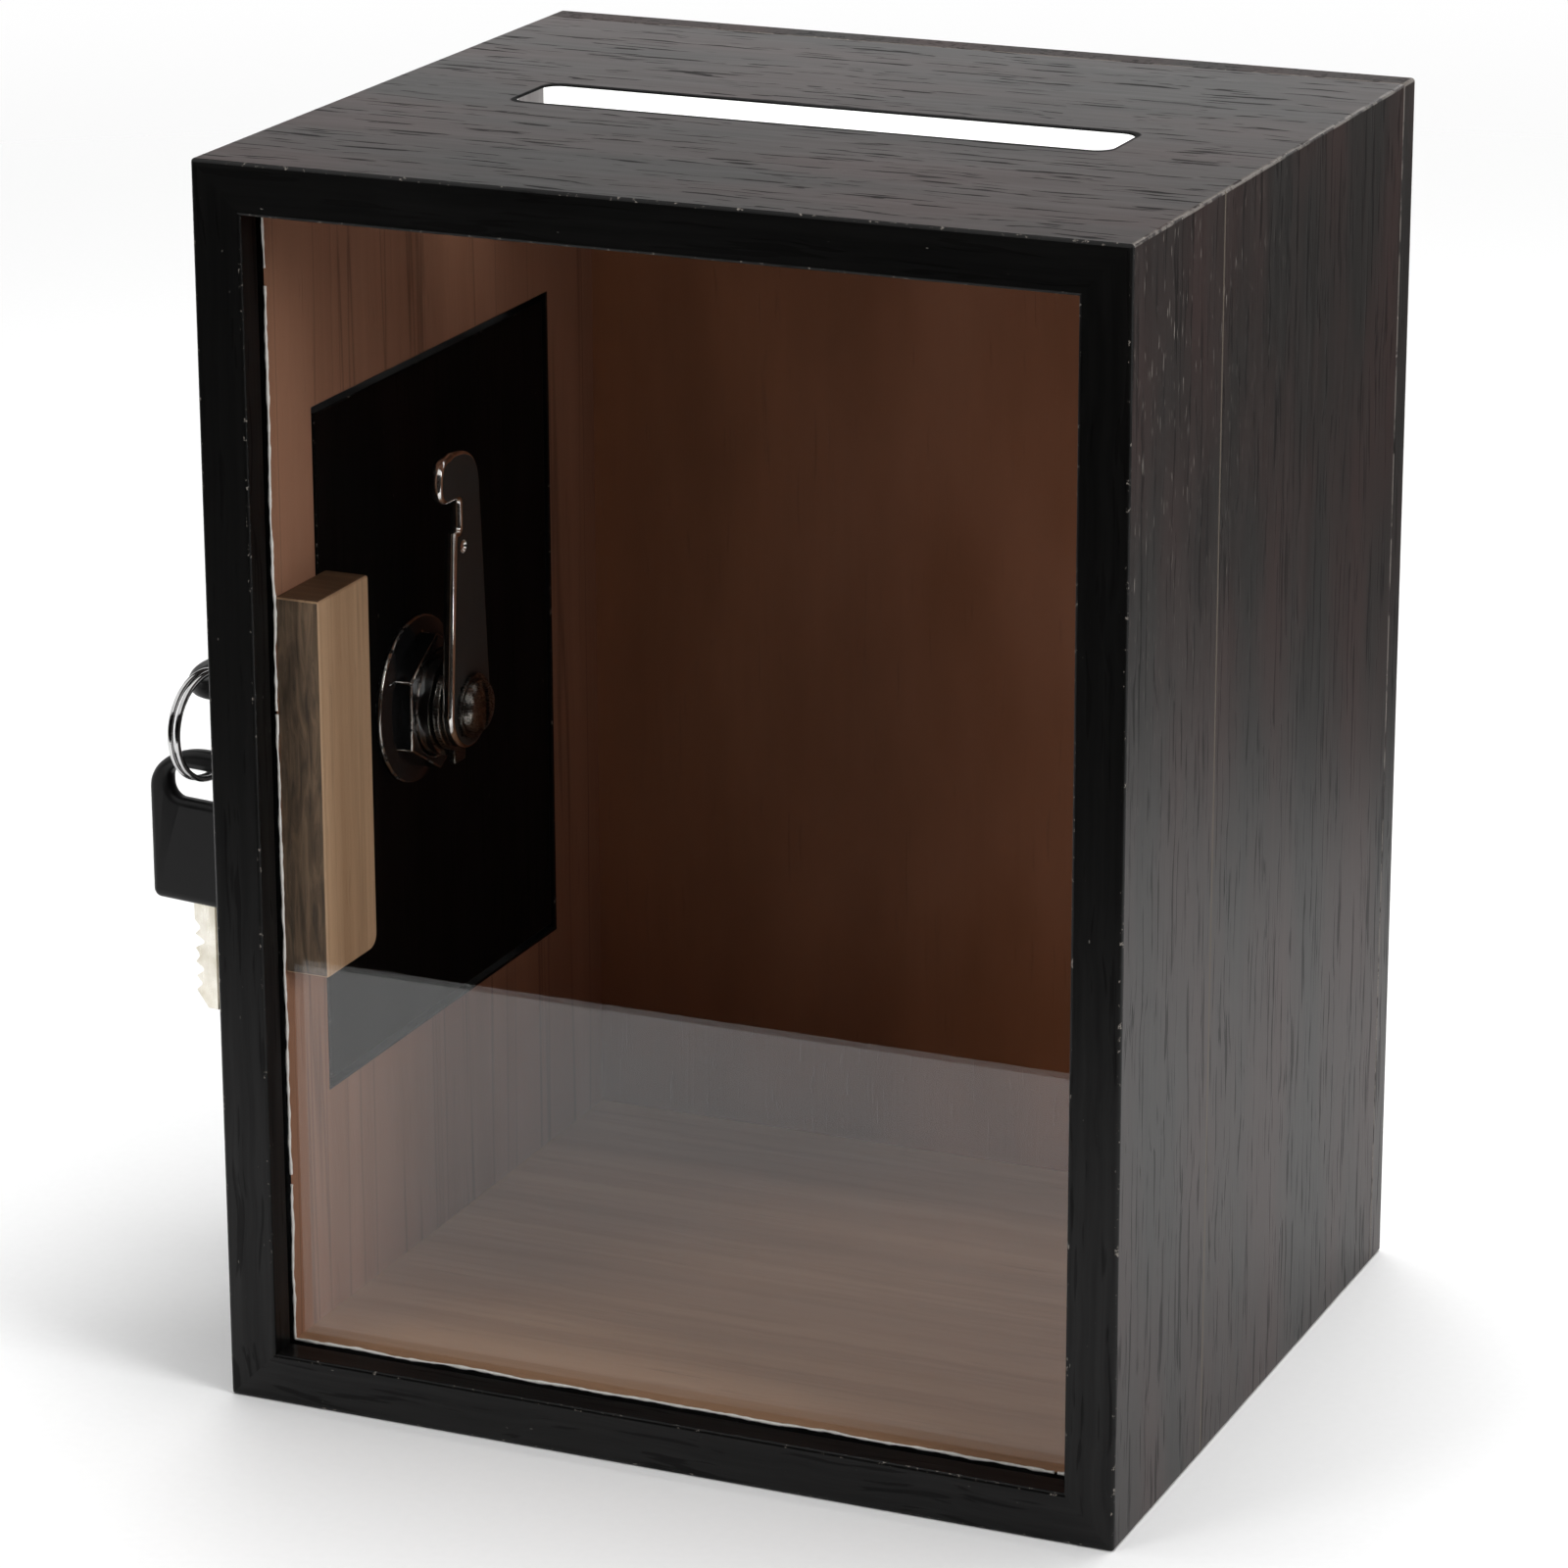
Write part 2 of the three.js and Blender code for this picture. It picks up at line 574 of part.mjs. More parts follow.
function keyBlade() {
  const half = BLADE_WIDTH / 2;
  const cutPitch = (bladeReach - KEY_EXPOSED - BLADE_TIP) / BITTING_DEPTHS.length;
  const points = [[half, BLADE_TANG], [-half, BLADE_TANG]];
  BITTING_DEPTHS.forEach((depth, i) => {
    const start = -KEY_EXPOSED - i * cutPitch;
    points.push([-half, start]);
    points.push([-half + depth, start - cutPitch * BITTING_FLANK]);
    points.push([-half + depth, start - cutPitch * (1 - BITTING_FLANK)]);
  });
  points.push([-half, -bladeReach + BLADE_TIP], [-half / 3, -bladeReach], [half / 2, -bladeReach]);
  points.push([half, -bladeReach + BLADE_TIP / 2]);
  return alongZ(outline(points), -BLADE_SHEET / 2, BLADE_SHEET / 2);
}

// Split ring: X along its axis, Y and Z in its plane.

const wireRadius = RING_WIRE / 2;
const ringMiddleRadius = RING_DIAMETER / 2 - wireRadius;
const ringInnerRadius = ringMiddleRadius - wireRadius;

class SplitRingPath extends THREE.Curve {
  getPoint(t, target = new THREE.Vector3()) {
    const turn = THREE.MathUtils.lerp(RING_CRANK, 4 * Math.PI - RING_CRANK, t);
    const crank = THREE.MathUtils.smoothstep(turn, 2 * Math.PI - RING_CRANK, 2 * Math.PI + RING_CRANK);
    const angle = RING_CRANK_AT + turn;
    return target.set(
      (crank - 0.5) * ringPitch,
      ringMiddleRadius * Math.cos(angle),
      ringMiddleRadius * Math.sin(angle),
    );
  }
}

function keyRing() {
  const section = new THREE.Shape().absarc(0, 0, wireRadius, 0, 2 * Math.PI);
  return solid(extruded(section, 0, {
    extrudePath: new SplitRingPath(),
    steps: 2 * RING_STEPS_PER_TURN,
    curveSegments: WIRE_SIDES / 2,
  }));
}

function leastRingGap() {
  const perTurn = 4 * RING_STEPS_PER_TURN;
  const points = new SplitRingPath().getSpacedPoints(2 * perTurn);
  const apart = perTurn / 4; // points nearer than a quarter turn along the wire don't count
  let least = Infinity;
  for (let i = 0; i < points.length; i += 1) {
    for (let j = i + apart; j < points.length; j += 1) {
      least = Math.min(least, points[i].distanceTo(points[j]));
    }
  }
  return least - RING_WIRE;
}

// The ring rolls round the near side rim of the head of the key in the lock.
const rimHalf = HEAD_SIDE_RIM / 2;
const rimCorner = Math.hypot(
  rimHalf - HEAD_EDGE * (1 - Math.SQRT1_2),
  headThickness / 2 - HEAD_EDGE * (1 - Math.SQRT1_2),
);
const rimToRing = Math.max(rimHalf, rimCorner) + RING_REST;
const rimPoint = new THREE.Vector3(
  keyShoulder - HEAD_LENGTH + HEAD_TOP_RIM + HEAD_HOLE_HEIGHT / 2,
  lockY - HEAD_WIDTH / 2 + rimHalf,
  lockZ,
);
const ringMiddle = rimPoint.clone();
ringMiddle.z -= ringInnerRadius - rimToRing;

// Assembly

const moneyBox = new THREE.Group();

moneyBox.add(
  piece('top_panel', 'stainedWood', topPanel()),
  piece('bottom_panel', 'stainedWood', mitredPanel('bottomRight', 'bottomLeft')),
  piece('left_side_panel', 'stainedWood', leftSidePanel()),
  piece('right_side_panel', 'stainedWood', mitredPanel('topRight', 'bottomRight')),
  piece('back_panel', 'stainedWood', block(
    [wallOuter, -wallOuter], [panelsBack, panelsBack + BACK_PANEL], [0, CASE_HEIGHT],
  )),
  piece('acrylic_window', 'clearAcrylic', acrylicWindow()),
  piece('strike_block', 'paleWood', strikeBlock()),
  piece('access_door', 'stainedWood', accessDoor()),
);

for (const [place, middle] of Object.entries(hingeHeights)) {
  moneyBox.add(
    piece(`hinge_leaf_wall_${place}`, 'blackSteel', hingeLeaf('wall', middle)),
    piece(`hinge_leaf_door_${place}`, 'blackSteel', hingeLeaf('door', middle)),
    piece(`hinge_pin_${place}`, 'blackSteel', hingePin(middle)),
  );
}

for (const side of ['wall', 'door']) {
  screwPlaces(side).forEach((place, i) => {
    moneyBox.add(piece(`hinge_screw_${side}_${i + 1}`, 'blackSteel', hingeScrew(place)));
  });
}

moneyBox.add(
  piece('lock_housing', 'brightSteel', lockHousing()),
  piece('lock_nut', 'blackSteel', lockNut()),
  piece('lock_plug', 'brightSteel', lockPlug()),
  piece('stop_washer', 'darkSteel', stopWasher()),
  piece('lock_cam', 'darkSteel', lockCam()),
  piece('cam_washer', 'darkSteel', camWasher()),
  piece('cam_screw', 'darkSteel', camScrew()),
);

const keyInLock = new THREE.Group();
keyInLock.position.set(keyShoulder, lockY, lockZ);
keyInLock.rotation.z = Math.PI / 2;
keyInLock.add(
  piece('key_blade', 'nickel', keyBlade()),
  piece('key_head', 'blackPlastic', keyHead()),
);

const spareKey = new THREE.Group();
spareKey.rotation.x = Math.PI / 2;
spareKey.position.z = -ringInnerRadius + SPARE_REST + HEAD_TOP_RIM - HEAD_LENGTH;
spareKey.add(
  piece('spare_key_blade', 'nickel', keyBlade()),
  piece('spare_key_head', 'blackPlastic', keyHead()),
);

const hanging = new THREE.Group();
hanging.position.copy(ringMiddle);
hanging.rotation.z = -RING_TURN;
hanging.add(piece('key_ring', 'brightSteel', keyRing()), spareKey);

moneyBox.add(keyInLock, hanging);

console.log(`split ring: least gap to itself ${leastRingGap().toFixed(2)} mm`);

export default moneyBox;
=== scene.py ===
"""Looks of a black-stained wooden money box with an acrylic window, built around its CAD frame.

Metres, +Z up, front towards -Y. Every piece stands where its CAD nodes do and rides on their body.
"""

import json
import math

import bmesh
import bpy
from mathutils import Matrix, Vector

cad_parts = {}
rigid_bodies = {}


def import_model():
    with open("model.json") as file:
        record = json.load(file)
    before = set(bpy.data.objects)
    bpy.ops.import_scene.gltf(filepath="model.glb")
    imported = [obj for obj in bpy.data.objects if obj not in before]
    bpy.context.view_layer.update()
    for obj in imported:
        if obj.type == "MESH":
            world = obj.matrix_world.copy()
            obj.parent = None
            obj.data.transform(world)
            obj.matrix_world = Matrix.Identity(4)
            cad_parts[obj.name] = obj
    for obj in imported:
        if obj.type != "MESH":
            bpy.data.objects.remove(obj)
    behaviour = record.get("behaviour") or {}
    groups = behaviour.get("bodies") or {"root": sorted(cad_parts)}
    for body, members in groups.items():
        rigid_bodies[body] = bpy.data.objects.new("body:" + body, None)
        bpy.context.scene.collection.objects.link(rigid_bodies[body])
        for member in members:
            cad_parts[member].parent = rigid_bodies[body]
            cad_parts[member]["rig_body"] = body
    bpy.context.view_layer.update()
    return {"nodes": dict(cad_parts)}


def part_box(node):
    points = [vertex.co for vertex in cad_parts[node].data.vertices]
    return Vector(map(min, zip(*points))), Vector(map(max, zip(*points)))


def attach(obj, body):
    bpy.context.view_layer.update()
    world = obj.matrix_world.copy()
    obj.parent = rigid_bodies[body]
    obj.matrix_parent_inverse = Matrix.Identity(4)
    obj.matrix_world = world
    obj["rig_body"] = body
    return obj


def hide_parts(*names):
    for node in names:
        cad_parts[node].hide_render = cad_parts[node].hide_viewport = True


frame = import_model()
scene = bpy.context.scene
nodes = frame["nodes"]
MM = 0.001

# Tolerances
NEAR = 0.01 * MM
WELD = 0.002 * MM
FLAT = math.radians(0.5)
FLAT_AREA = 12 * MM * MM  # faces larger than this are shaded flat
AXIAL = 0.99  # a normal with a larger part along an axis faces along it

# Angles over which an edge counts as sharp
BITTING_STEP = math.radians(15)
SHARP = math.radians(30)
ROUND_SIDE = math.radians(40)
LEAF_CORNER = math.radians(50)
SQUARE = math.radians(60)

# Sizes of the boards' edges
CASE_ARRIS = 0.6 * MM
FRAME_ARRIS = 0.5 * MM
CUT_ARRIS = 0.25 * MM
SEAM = 0.3 * MM
DOOR_ARRIS = 0.3 * MM
DOOR_REACH = Vector((20 * MM, 3 * MM, 3 * MM))  # from the door's box to past its opening's edges
BLOCK_ARRIS = 0.5 * MM
BLOCK_CORNER = 2.5 * MM
SLOT_LENGTH = 104 * MM
SLOT_WIDTH = 14.5 * MM
SLOT_CORNER = 3 * MM
SLOT_AREA = Vector((60 * MM, 12 * MM, 1.0))  # a box round the origin with no edges but the slot's
SLOT_SHADE_REACH = (0.5 * MM, 1.2 * MM)  # how far the painted shade line round the slot reaches along X and along Y
SLOT_SHADE_FADE = 0.3 * MM
RIGHT_BOARD_JOINT = -27 * MM
BOARD_JOINT_LINE = (0.2 * MM, 0.32 * MM)  # from its middle to where it starts to fade and to its end
MITRE_AREA = 400 * MM * MM  # faces larger than this are no arris

# Sizes of the fittings' edges and of what the fittings add to the frame
SHEET_EDGE = 0.25 * MM
NUT_EDGE = 0.35 * MM
CAM_EDGE = 0.9 * MM
LEAF_SHEET = 1.0 * MM
HINGE_SCREW = {
    "Head radius": 2.1 * MM, "Head height": 0.8 * MM, "Slot width": 0.55 * MM,
    "Shank radius": 0.95 * MM, "Shank length": 6.2 * MM,
}

# Places on the case, read from the frame
case_low = Vector((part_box("left_side_panel")[0].x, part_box("top_panel")[0].y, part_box("bottom_panel")[0].z))
case_high = Vector((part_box("right_side_panel")[1].x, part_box("back_panel")[1].y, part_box("top_panel")[1].z))
window_low, window_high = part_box("acrylic_window")
room_low = Vector((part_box("left_side_panel")[1].x, window_high.y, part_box("bottom_panel")[1].z))
room_high = Vector((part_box("right_side_panel")[0].x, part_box("back_panel")[0].y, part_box("top_panel")[0].z))


def middle(node):
    low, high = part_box(node)
    return (low + high) / 2


# Node helpers

def tree_of(*values):
    """The tree of the first node or socket among values."""
    return next(value.id_data for value in values if hasattr(value, "id_data"))


def put(socket, value):
    """Links a socket, or a node's first output, to socket, or sets it. A colour gets its alpha here."""
    if isinstance(value, bpy.types.Node):
        value = value.outputs[0]
    if isinstance(value, bpy.types.NodeSocket):
        socket.id_data.links.new(value, socket)
    else:
        socket.default_value = (*value, 1.0) if socket.type == "RGBA" else value


def add(tree, kind, inputs=None, **settings):
    made = tree.nodes.new(kind)
    for name, value in settings.items():
        setattr(made, name, value)
    for name, value in (inputs or {}).items():
        put(made.inputs[name], value)
    return made


def feed(node, **sockets):
    """Puts values on a node's sockets, whose names have underscores for spaces."""
    for label, value in sockets.items():
        put(node.inputs[label.replace("_", " ")], value)


def calc(operation, a, b=0.0):
    return add(tree_of(a, b), "ShaderNodeMath", {0: a, 1: b}, operation=operation)


def times(a, b):
    return calc("MULTIPLY", a, b)


def less(a, b):
    return calc("SUBTRACT", a, b)


def xyz(x=0.0, y=0.0, z=0.0):
    return add(tree_of(x, y, z), "ShaderNodeCombineXYZ", {0: x, 1: y, 2: z})


def scaled(vector, by):
    return add(tree_of(vector), "ShaderNodeVectorMath", {0: vector, 1: by}, operation="MULTIPLY")


def stretched(vector, length, width):
    """vector with its first coordinate in lengths, and the others in widths."""
    along = calc("DIVIDE", 1.0, length)
    across = calc("DIVIDE", 1.0, width)
    return scaled(vector, xyz(along, across, across))


def spread(value, low, high, to_low=0.0, to_high=1.0):
    inputs = {"Value": value, "From Min": low, "From Max": high, "To Min": to_low, "To Max": to_high}
    return add(tree_of(value), "ShaderNodeMapRange", inputs)


def above(value, level, softness):
    """0 up to level, and 1 from softness past it."""
    return spread(value, level, calc("ADD", level, softness))


def ranged(noise, low, high):
    """low to high, over the values that a noise mostly has."""
    return spread(noise, 0.3, 0.7, low, high)


def mixed(share, a, b):
    """The colour a with share of the colour b over it."""
    return add(tree_of(share), "ShaderNodeMix", {0: share, 6: a, 7: b}, data_type="RGBA").outputs[2]


def cloudy(vector, scale=1.0, detail=2.0, roughness=0.5, distortion=0.0):
    inputs = {"Vector": vector, "Scale": scale, "Detail": detail, "Roughness": roughness}
    return add(tree_of(vector), "ShaderNodeTexNoise", inputs | {"Distortion": distortion}).outputs[0]


def new_group(kind, name, inputs, outputs):
    """A node tree, its inputs' sockets and its outputs' node. Sockets are listed under their types."""
    tree = bpy.data.node_groups.new(name, kind + "NodeTree")
    for direction, sockets in (("INPUT", inputs), ("OUTPUT", outputs)):
        for socket, labels in sockets.items():
            for label in labels:
                tree.interface.new_socket(name=label, in_out=direction, socket_type="NodeSocket" + socket)
    return tree, tree.nodes.new("NodeGroupInput").outputs[:-1], tree.nodes.new("NodeGroupOutput")


def shader_group(name, numbers, outputs):
    """A group that makes numbers from a vector and numbers."""
    return new_group("Shader", name, {"Vector": ["Vector"], "Float": numbers}, {"Float": outputs})


def geometry_group(name, **numbers):
    """A group that makes geometry from geometry, numbers and a material."""
    inputs = {"Geometry": ["Geometry"], **numbers, "Material": ["Material"]}
    return new_group("Geometry", name, inputs, {"Geometry": ["Geometry"]})


# Colours, mostly as a dark and a light tone that a pattern mixes

def shade(tone, light):
    """A colour with a share of its light."""
    return tuple(light * part for part in tone)


STAIN = ((0.0068, 0.0058, 0.0053), (0.0165, 0.0139, 0.0127))
STAIN_CLOUD = (0.031, 0.0152, 0.0136)
STAIN_PORE = (0.0015, 0.0014, 0.0013)
# Pale tone of rubbed wear and flecks, which on the long rubs is also a painted highlight
RUB_AND_SHEEN = (0.3, 0.27, 0.24)
# Colour of the painted shade line round the slot
PAINTED_SLOT_SHADE = (0.001, 0.001, 0.001)
PALE_LINE = (0.095, 0.08, 0.064)
FILLED = ((0.0009, 0.00085, 0.0008), (0.0028, 0.0026, 0.0024))
FILLED_SPECK = (0.2, 0.19, 0.17)
FILLED_WORN = (0.24, 0.215, 0.19)
BARE = ((0.292, 0.143, 0.086), (0.386, 0.198, 0.123))
BACK = ((0.21, 0.072, 0.026), (0.25, 0.09, 0.035))
FLOOR = ((0.35, 0.2, 0.118), (0.5, 0.305, 0.187))
BLOCK = ((0.335, 0.2, 0.111), (0.56, 0.367, 0.224))
BLOCK_END = ((0.085, 0.046, 0.023), (0.16, 0.092, 0.05))
# Tones of the block's sawn front face, darkened in part as painted shade
SAWN_AND_SHADED = ((0.025, 0.015, 0.008), (0.205, 0.128, 0.074))
# Grey of the slot's end walls: a painted sheen like the top's, over end grain
SLOT_END_SHEEN = ((0.13, 0.122, 0.12), (0.2, 0.19, 0.186))
# White of the slot's walls, which is also the colour of their painted glow
LACQUER_AND_GLOW = ((0.9, 0.9, 0.89), (0.97, 0.97, 0.965))
SHEET_CLEAR = (0.985, 0.99, 0.99)
SHEET_SHADOW = (0.93, 0.94, 0.94)
ENAMEL = ((0.006, 0.006, 0.0065), (0.014, 0.0138, 0.014))
ENAMEL_WORN = (0.42, 0.4, 0.37)
NICKEL = ((0.5, 0.5, 0.505), (0.66, 0.655, 0.65))
POLISHED = ((0.7, 0.68, 0.65), (0.9, 0.88, 0.84))
ZINC = ((0.1, 0.095, 0.088), (0.2, 0.185, 0.165))
KEY_NICKEL = ((0.74, 0.69, 0.58), (0.92, 0.88, 0.79))
CAM_PLATE = ((0.034, 0.036, 0.035), (0.06, 0.063, 0.061))
KEY_BLACK = ((0.0035, 0.0035, 0.0037), (0.0085, 0.0082, 0.0083))
GLUE = ((0.7, 0.66, 0.6), (0.95, 0.93, 0.89))
WHITE_PAPER = ((0.92, 0.92, 0.92), (0.95, 0.95, 0.95))
DARK_PAPER = ((0.003, 0.003, 0.003), (0.006, 0.006, 0.006))


# Shader groups

SWAY = 1.6 * MM  # how far the grain leaves its straight line
SWAY_SCALE = 45.0
LONG_TONES = (0.3, 0.7, 0.7)  # how fast tones change beside pores, along and across the grain
CLOUD_SCALE = (16.0, 48.0, 48.0)
WEAR_SOFTNESS = 0.06
FLECK_SOFTNESS = 0.05


def grain_group():
    """Open-grained wood whose fibres run along the first coordinate and sway a little."""
    numbers = ["Pore length", "Pore width", "Pore level", "Pore edge"]
    tree, enter, leave = shader_group("Open grain", numbers, ["Pores", "Tone", "Cloud"])
    vector, length, width, level, edge = enter
    sway = spread(cloudy(vector, SWAY_SCALE, detail=1.0), 0.0, 1.0, -SWAY, SWAY)
    aside = xyz(0.0, sway, sway)
    swayed = add(tree, "ShaderNodeVectorMath", {0: vector, 1: aside}, operation="ADD")
    fibres = stretched(swayed, length, width)
    pores = cloudy(fibres, detail=2.5, roughness=0.55, distortion=0.25)
    tones = cloudy(scaled(fibres, LONG_TONES), detail=5.0, roughness=0.68)
    clouds = cloudy(scaled(vector, CLOUD_SCALE), detail=3.0)
    feed(leave, Pores=above(pores, level, edge), Tone=ranged(tones, 0.0, 1.0))
    feed(leave, Cloud=spread(clouds, 0.38, 0.66))
    return tree


def wear_and_sheen_group():
    """Patches along an edge where paint or stain has gone, which on the stained boards' long rubs are also a
    painted highlight: Edge is 1 on the faces of an arris.
    """
    tree, enter, leave = shader_group("Edge wear and sheen", ["Edge", "Patch size", "Level"], ["Worn"])
    vector, edge, size, level = enter
    patches = cloudy(vector, calc("DIVIDE", 1.0, size), detail=4.0, roughness=0.65)
    feed(leave, Worn=times(above(patches, level, WEAR_SOFTNESS), edge))
    return tree


def fleck_group():
    """Sparse short scratches along the first coordinate."""
    tree, enter, leave = shader_group("Flecks", ["Length", "Width", "Level"], ["Flecks"])
    vector, length, width, level = enter
    marks = cloudy(stretched(vector, length, width), detail=1.0, roughness=0.4)
    feed(leave, Flecks=above(marks, level, FLECK_SOFTNESS))
    return tree


OPEN_GRAIN = grain_group()
EDGE_WEAR_AND_SHEEN = wear_and_sheen_group()
FLECKS = fleck_group()


def grouped(group, *values):
    """A shader group's outputs, with values on its sockets in order."""
    return add(tree_of(*values), "ShaderNodeGroup", dict(enumerate(values)), node_tree=group).outputs


def edge_wear_and_sheen(vector, patch, level):
    """The worn share of a piece's arrises, which its arris attribute marks; on the stained boards' long rubs it
    is also a painted highlight.
    """
    edge = add(tree_of(vector), "ShaderNodeAttribute", attribute_name="arris").outputs["Fac"]
    return grouped(EDGE_WEAR_AND_SHEEN, vector, edge, patch, level)[0]


# Materials

ALONG_X = (0.0, 0.0, 0.0)
ALONG_Z = (0.0, math.pi / 2, 0.0)

# A pore's length and width, the level of the noise that opens it and the softness of its edge
FILLED_PORES = (26 * MM, 1.5 * MM, 0.6, 0.035)
BARE_PORES = (30 * MM, 0.7 * MM, 0.66, 0.035)

# The same for a stained board, and how far a pore breaks its coat
LONG_PORES = (17 * MM, 1.25 * MM, 0.6, 0.03, 0.92)
FINE_PORES = (24 * MM, 1.1 * MM, 0.555, 0.09, 0.6)

# A worn patch's size and the level of the noise that shows it
STAIN_CHIPS = (1.2 * MM, 0.63)
# The long rubs are wear and a painted highlight of the rounded arrises
STAIN_RUBS_AND_SHEEN = (9 * MM, 0.44)
FILLED_CHIPS = (1.1 * MM, 0.615)
ENAMEL_CHIP = 1.6 * MM

# A fleck's length and width and the level of the noise that shows it
CORNER_FLECKS = (4.5 * MM, 0.45 * MM, 0.68)
FILLED_SPECKS = (1.6 * MM, 0.6 * MM, 0.79)
FLECKED_HEIGHT = (0.1, 0.2)  # from no flecks to all of them
FLECKED_DEPTH = (0.02, -0.05)

# A noise's scale along each axis and its detail
BRUSHED = ((120.0, 900.0, 900.0), 3.0)
SMUDGES = ((130.0, 130.0, 130.0), 4.0)
ROLLED = ((80.0, 1600.0, 1600.0), 3.0)
HANDLED = ((190.0, 190.0, 190.0), 3.0)
ERODED = ((4200.0, 4200.0, 4200.0), 2.0)
LUMPS = ((700.0, 700.0, 700.0), 3.0)
FIBRES = ((600.0, 600.0, 600.0), 3.0)


def new_material(name, **constants):
    """A material and its Principled BSDF, with constants set on the shader's own sockets."""
    material = bpy.data.materials.new(name)
    material.use_nodes = True
    shader = material.node_tree.nodes["Principled BSDF"]
    feed(shader, **constants)
    return material, shader


def see_through(shader, share, **constants):
    """Puts a share of clear surface over a shader."""
    tree = shader.id_data
    clear = add(tree, "ShaderNodeBsdfTransparent", constants)
    both = add(tree, "ShaderNodeMixShader", {0: share, 1: shader, 2: clear})
    feed(tree.nodes["Material Output"], Surface=both)


def place(shader, turn=ALONG_X, shift=(0.0, 0.0, 0.0)):
    """Object coordinates, turned so that a pattern's first axis lies along the grain."""
    coordinates = add(shader.id_data, "ShaderNodeTexCoord").outputs["Object"]
    inputs = {"Vector": coordinates, "Rotation": turn, "Location": shift}
    return add(shader.id_data, "ShaderNodeMapping", inputs).outputs[0]


def object_axes(shader):
    return add(shader.id_data, "ShaderNodeSeparateXYZ", {0: place(shader)}).outputs


def bumped(height, distance, strength):
    inputs = {"Height": height, "Distance": distance, "Strength": strength}
    return add(tree_of(height), "ShaderNodeBump", inputs).outputs[0]


def slot_edge_shade(shader):
    """1 on the top face's painted shade line round the slot, and 0 away from it."""
    x, y = object_axes(shader)[:2]
    past = []
    for value, size, line in ((x, SLOT_LENGTH, SLOT_SHADE_REACH[0]), (y, SLOT_WIDTH, SLOT_SHADE_REACH[1])):
        beyond = less(calc("ABSOLUTE", value), size / 2 + line - SLOT_CORNER)
        past.append(calc("POWER", calc("MAXIMUM", beyond, 0.0), 2.0))
    away = less(calc("SQRT", calc("ADD", *past)), SLOT_CORNER)
    return spread(away, 0.0, SLOT_SHADE_FADE, 1.0, 0.0)


def board_joint(shader):
    """1 on the line where two boards meet in the right side, and 0 away from it."""
    off = calc("ABSOLUTE", less(object_axes(shader)[1], RIGHT_BOARD_JOINT))
    return spread(off, *BOARD_JOINT_LINE, 1.0, 0.0)


def front_top(shader):
    """1 towards the front top corner of a side, fading to 0."""
    _, y, z = object_axes(shader)
    return times(spread(z, *FLECKED_HEIGHT), spread(y, *FLECKED_DEPTH))


def stained_wood(name, turn, shift, pores_of, coat=1.0, coat_rough=0.32, flecked=0.0, line=None):
    """Black stain and a clear coat on open-grained wood.

    flecked is the share of pale flecks near the front top corner, and line is a mark and its colour: on the
    top, a painted shade line round the slot, and on the right side, a board joint.
    """
    *pore, depth = pores_of
    material, shader = new_material(name, Specular_IOR_Level=0.1, Coat_Roughness=coat_rough)
    vector = place(shader, turn, shift)
    pores, tone, cloud = grouped(OPEN_GRAIN, vector, *pore)
    broken = times(pores, depth)
    base = mixed(tone, *STAIN)
    base = mixed(times(cloud, 0.6), base, STAIN_CLOUD)
    base = mixed(broken, base, STAIN_PORE)
    if flecked:
        shown = times(grouped(FLECKS, vector, *CORNER_FLECKS)[0], front_top(shader))
        base = mixed(times(shown, flecked), base, RUB_AND_SHEEN)
    # The long rubs paint a highlight along the arrises as well as wear, and the small chips are wear
    for patches, share in ((STAIN_RUBS_AND_SHEEN, 0.35), (STAIN_CHIPS, 0.8)):
        base = mixed(times(edge_wear_and_sheen(vector, *patches), share), base, RUB_AND_SHEEN)
    shine = times(less(1.0, broken), spread(tone, 0.0, 1.0, 0.62 * coat, coat))
    if line:
        mark, mark_colour = line
        marked = mark(shader)
        base = mixed(marked, base, mark_colour)
        shine = times(shine, less(1.0, marked))
    height = less(times(tone, 0.1), pores)
    feed(shader, Base_Color=base, Coat_Weight=shine, Normal=bumped(height, 0.1 * MM, 0.8),
         Roughness=spread(tone, 0.0, 1.0, 0.45, 0.6))
    return material


def filled_wood(name, turn, shift, coat=0.48):
    """Black stain on wood whose pores are nearly filled, with a few pale specks."""
    material, shader = new_material(name, Specular_IOR_Level=0.05, Coat_Roughness=0.33)
    vector = place(shader, turn, shift)
    pores, tone, cloud = grouped(OPEN_GRAIN, vector, *FILLED_PORES)
    base = mixed(tone, *FILLED)
    base = mixed(times(grouped(FLECKS, vector, *FILLED_SPECKS)[0], 0.5), base, FILLED_SPECK)
    base = mixed(times(edge_wear_and_sheen(vector, *FILLED_CHIPS), 0.7), base, FILLED_WORN)
    unbroken = less(1.0, times(pores, 0.5))
    shine = times(unbroken, spread(tone, 0.0, 1.0, 0.6 * coat, coat))
    height = less(times(tone, 0.2), times(pores, 0.3))
    feed(shader, Base_Color=base, Coat_Weight=shine, Normal=bumped(height, 0.06 * MM, 0.5),
         Roughness=spread(cloud, 0.0, 1.0, 0.4, 0.55))
    return material


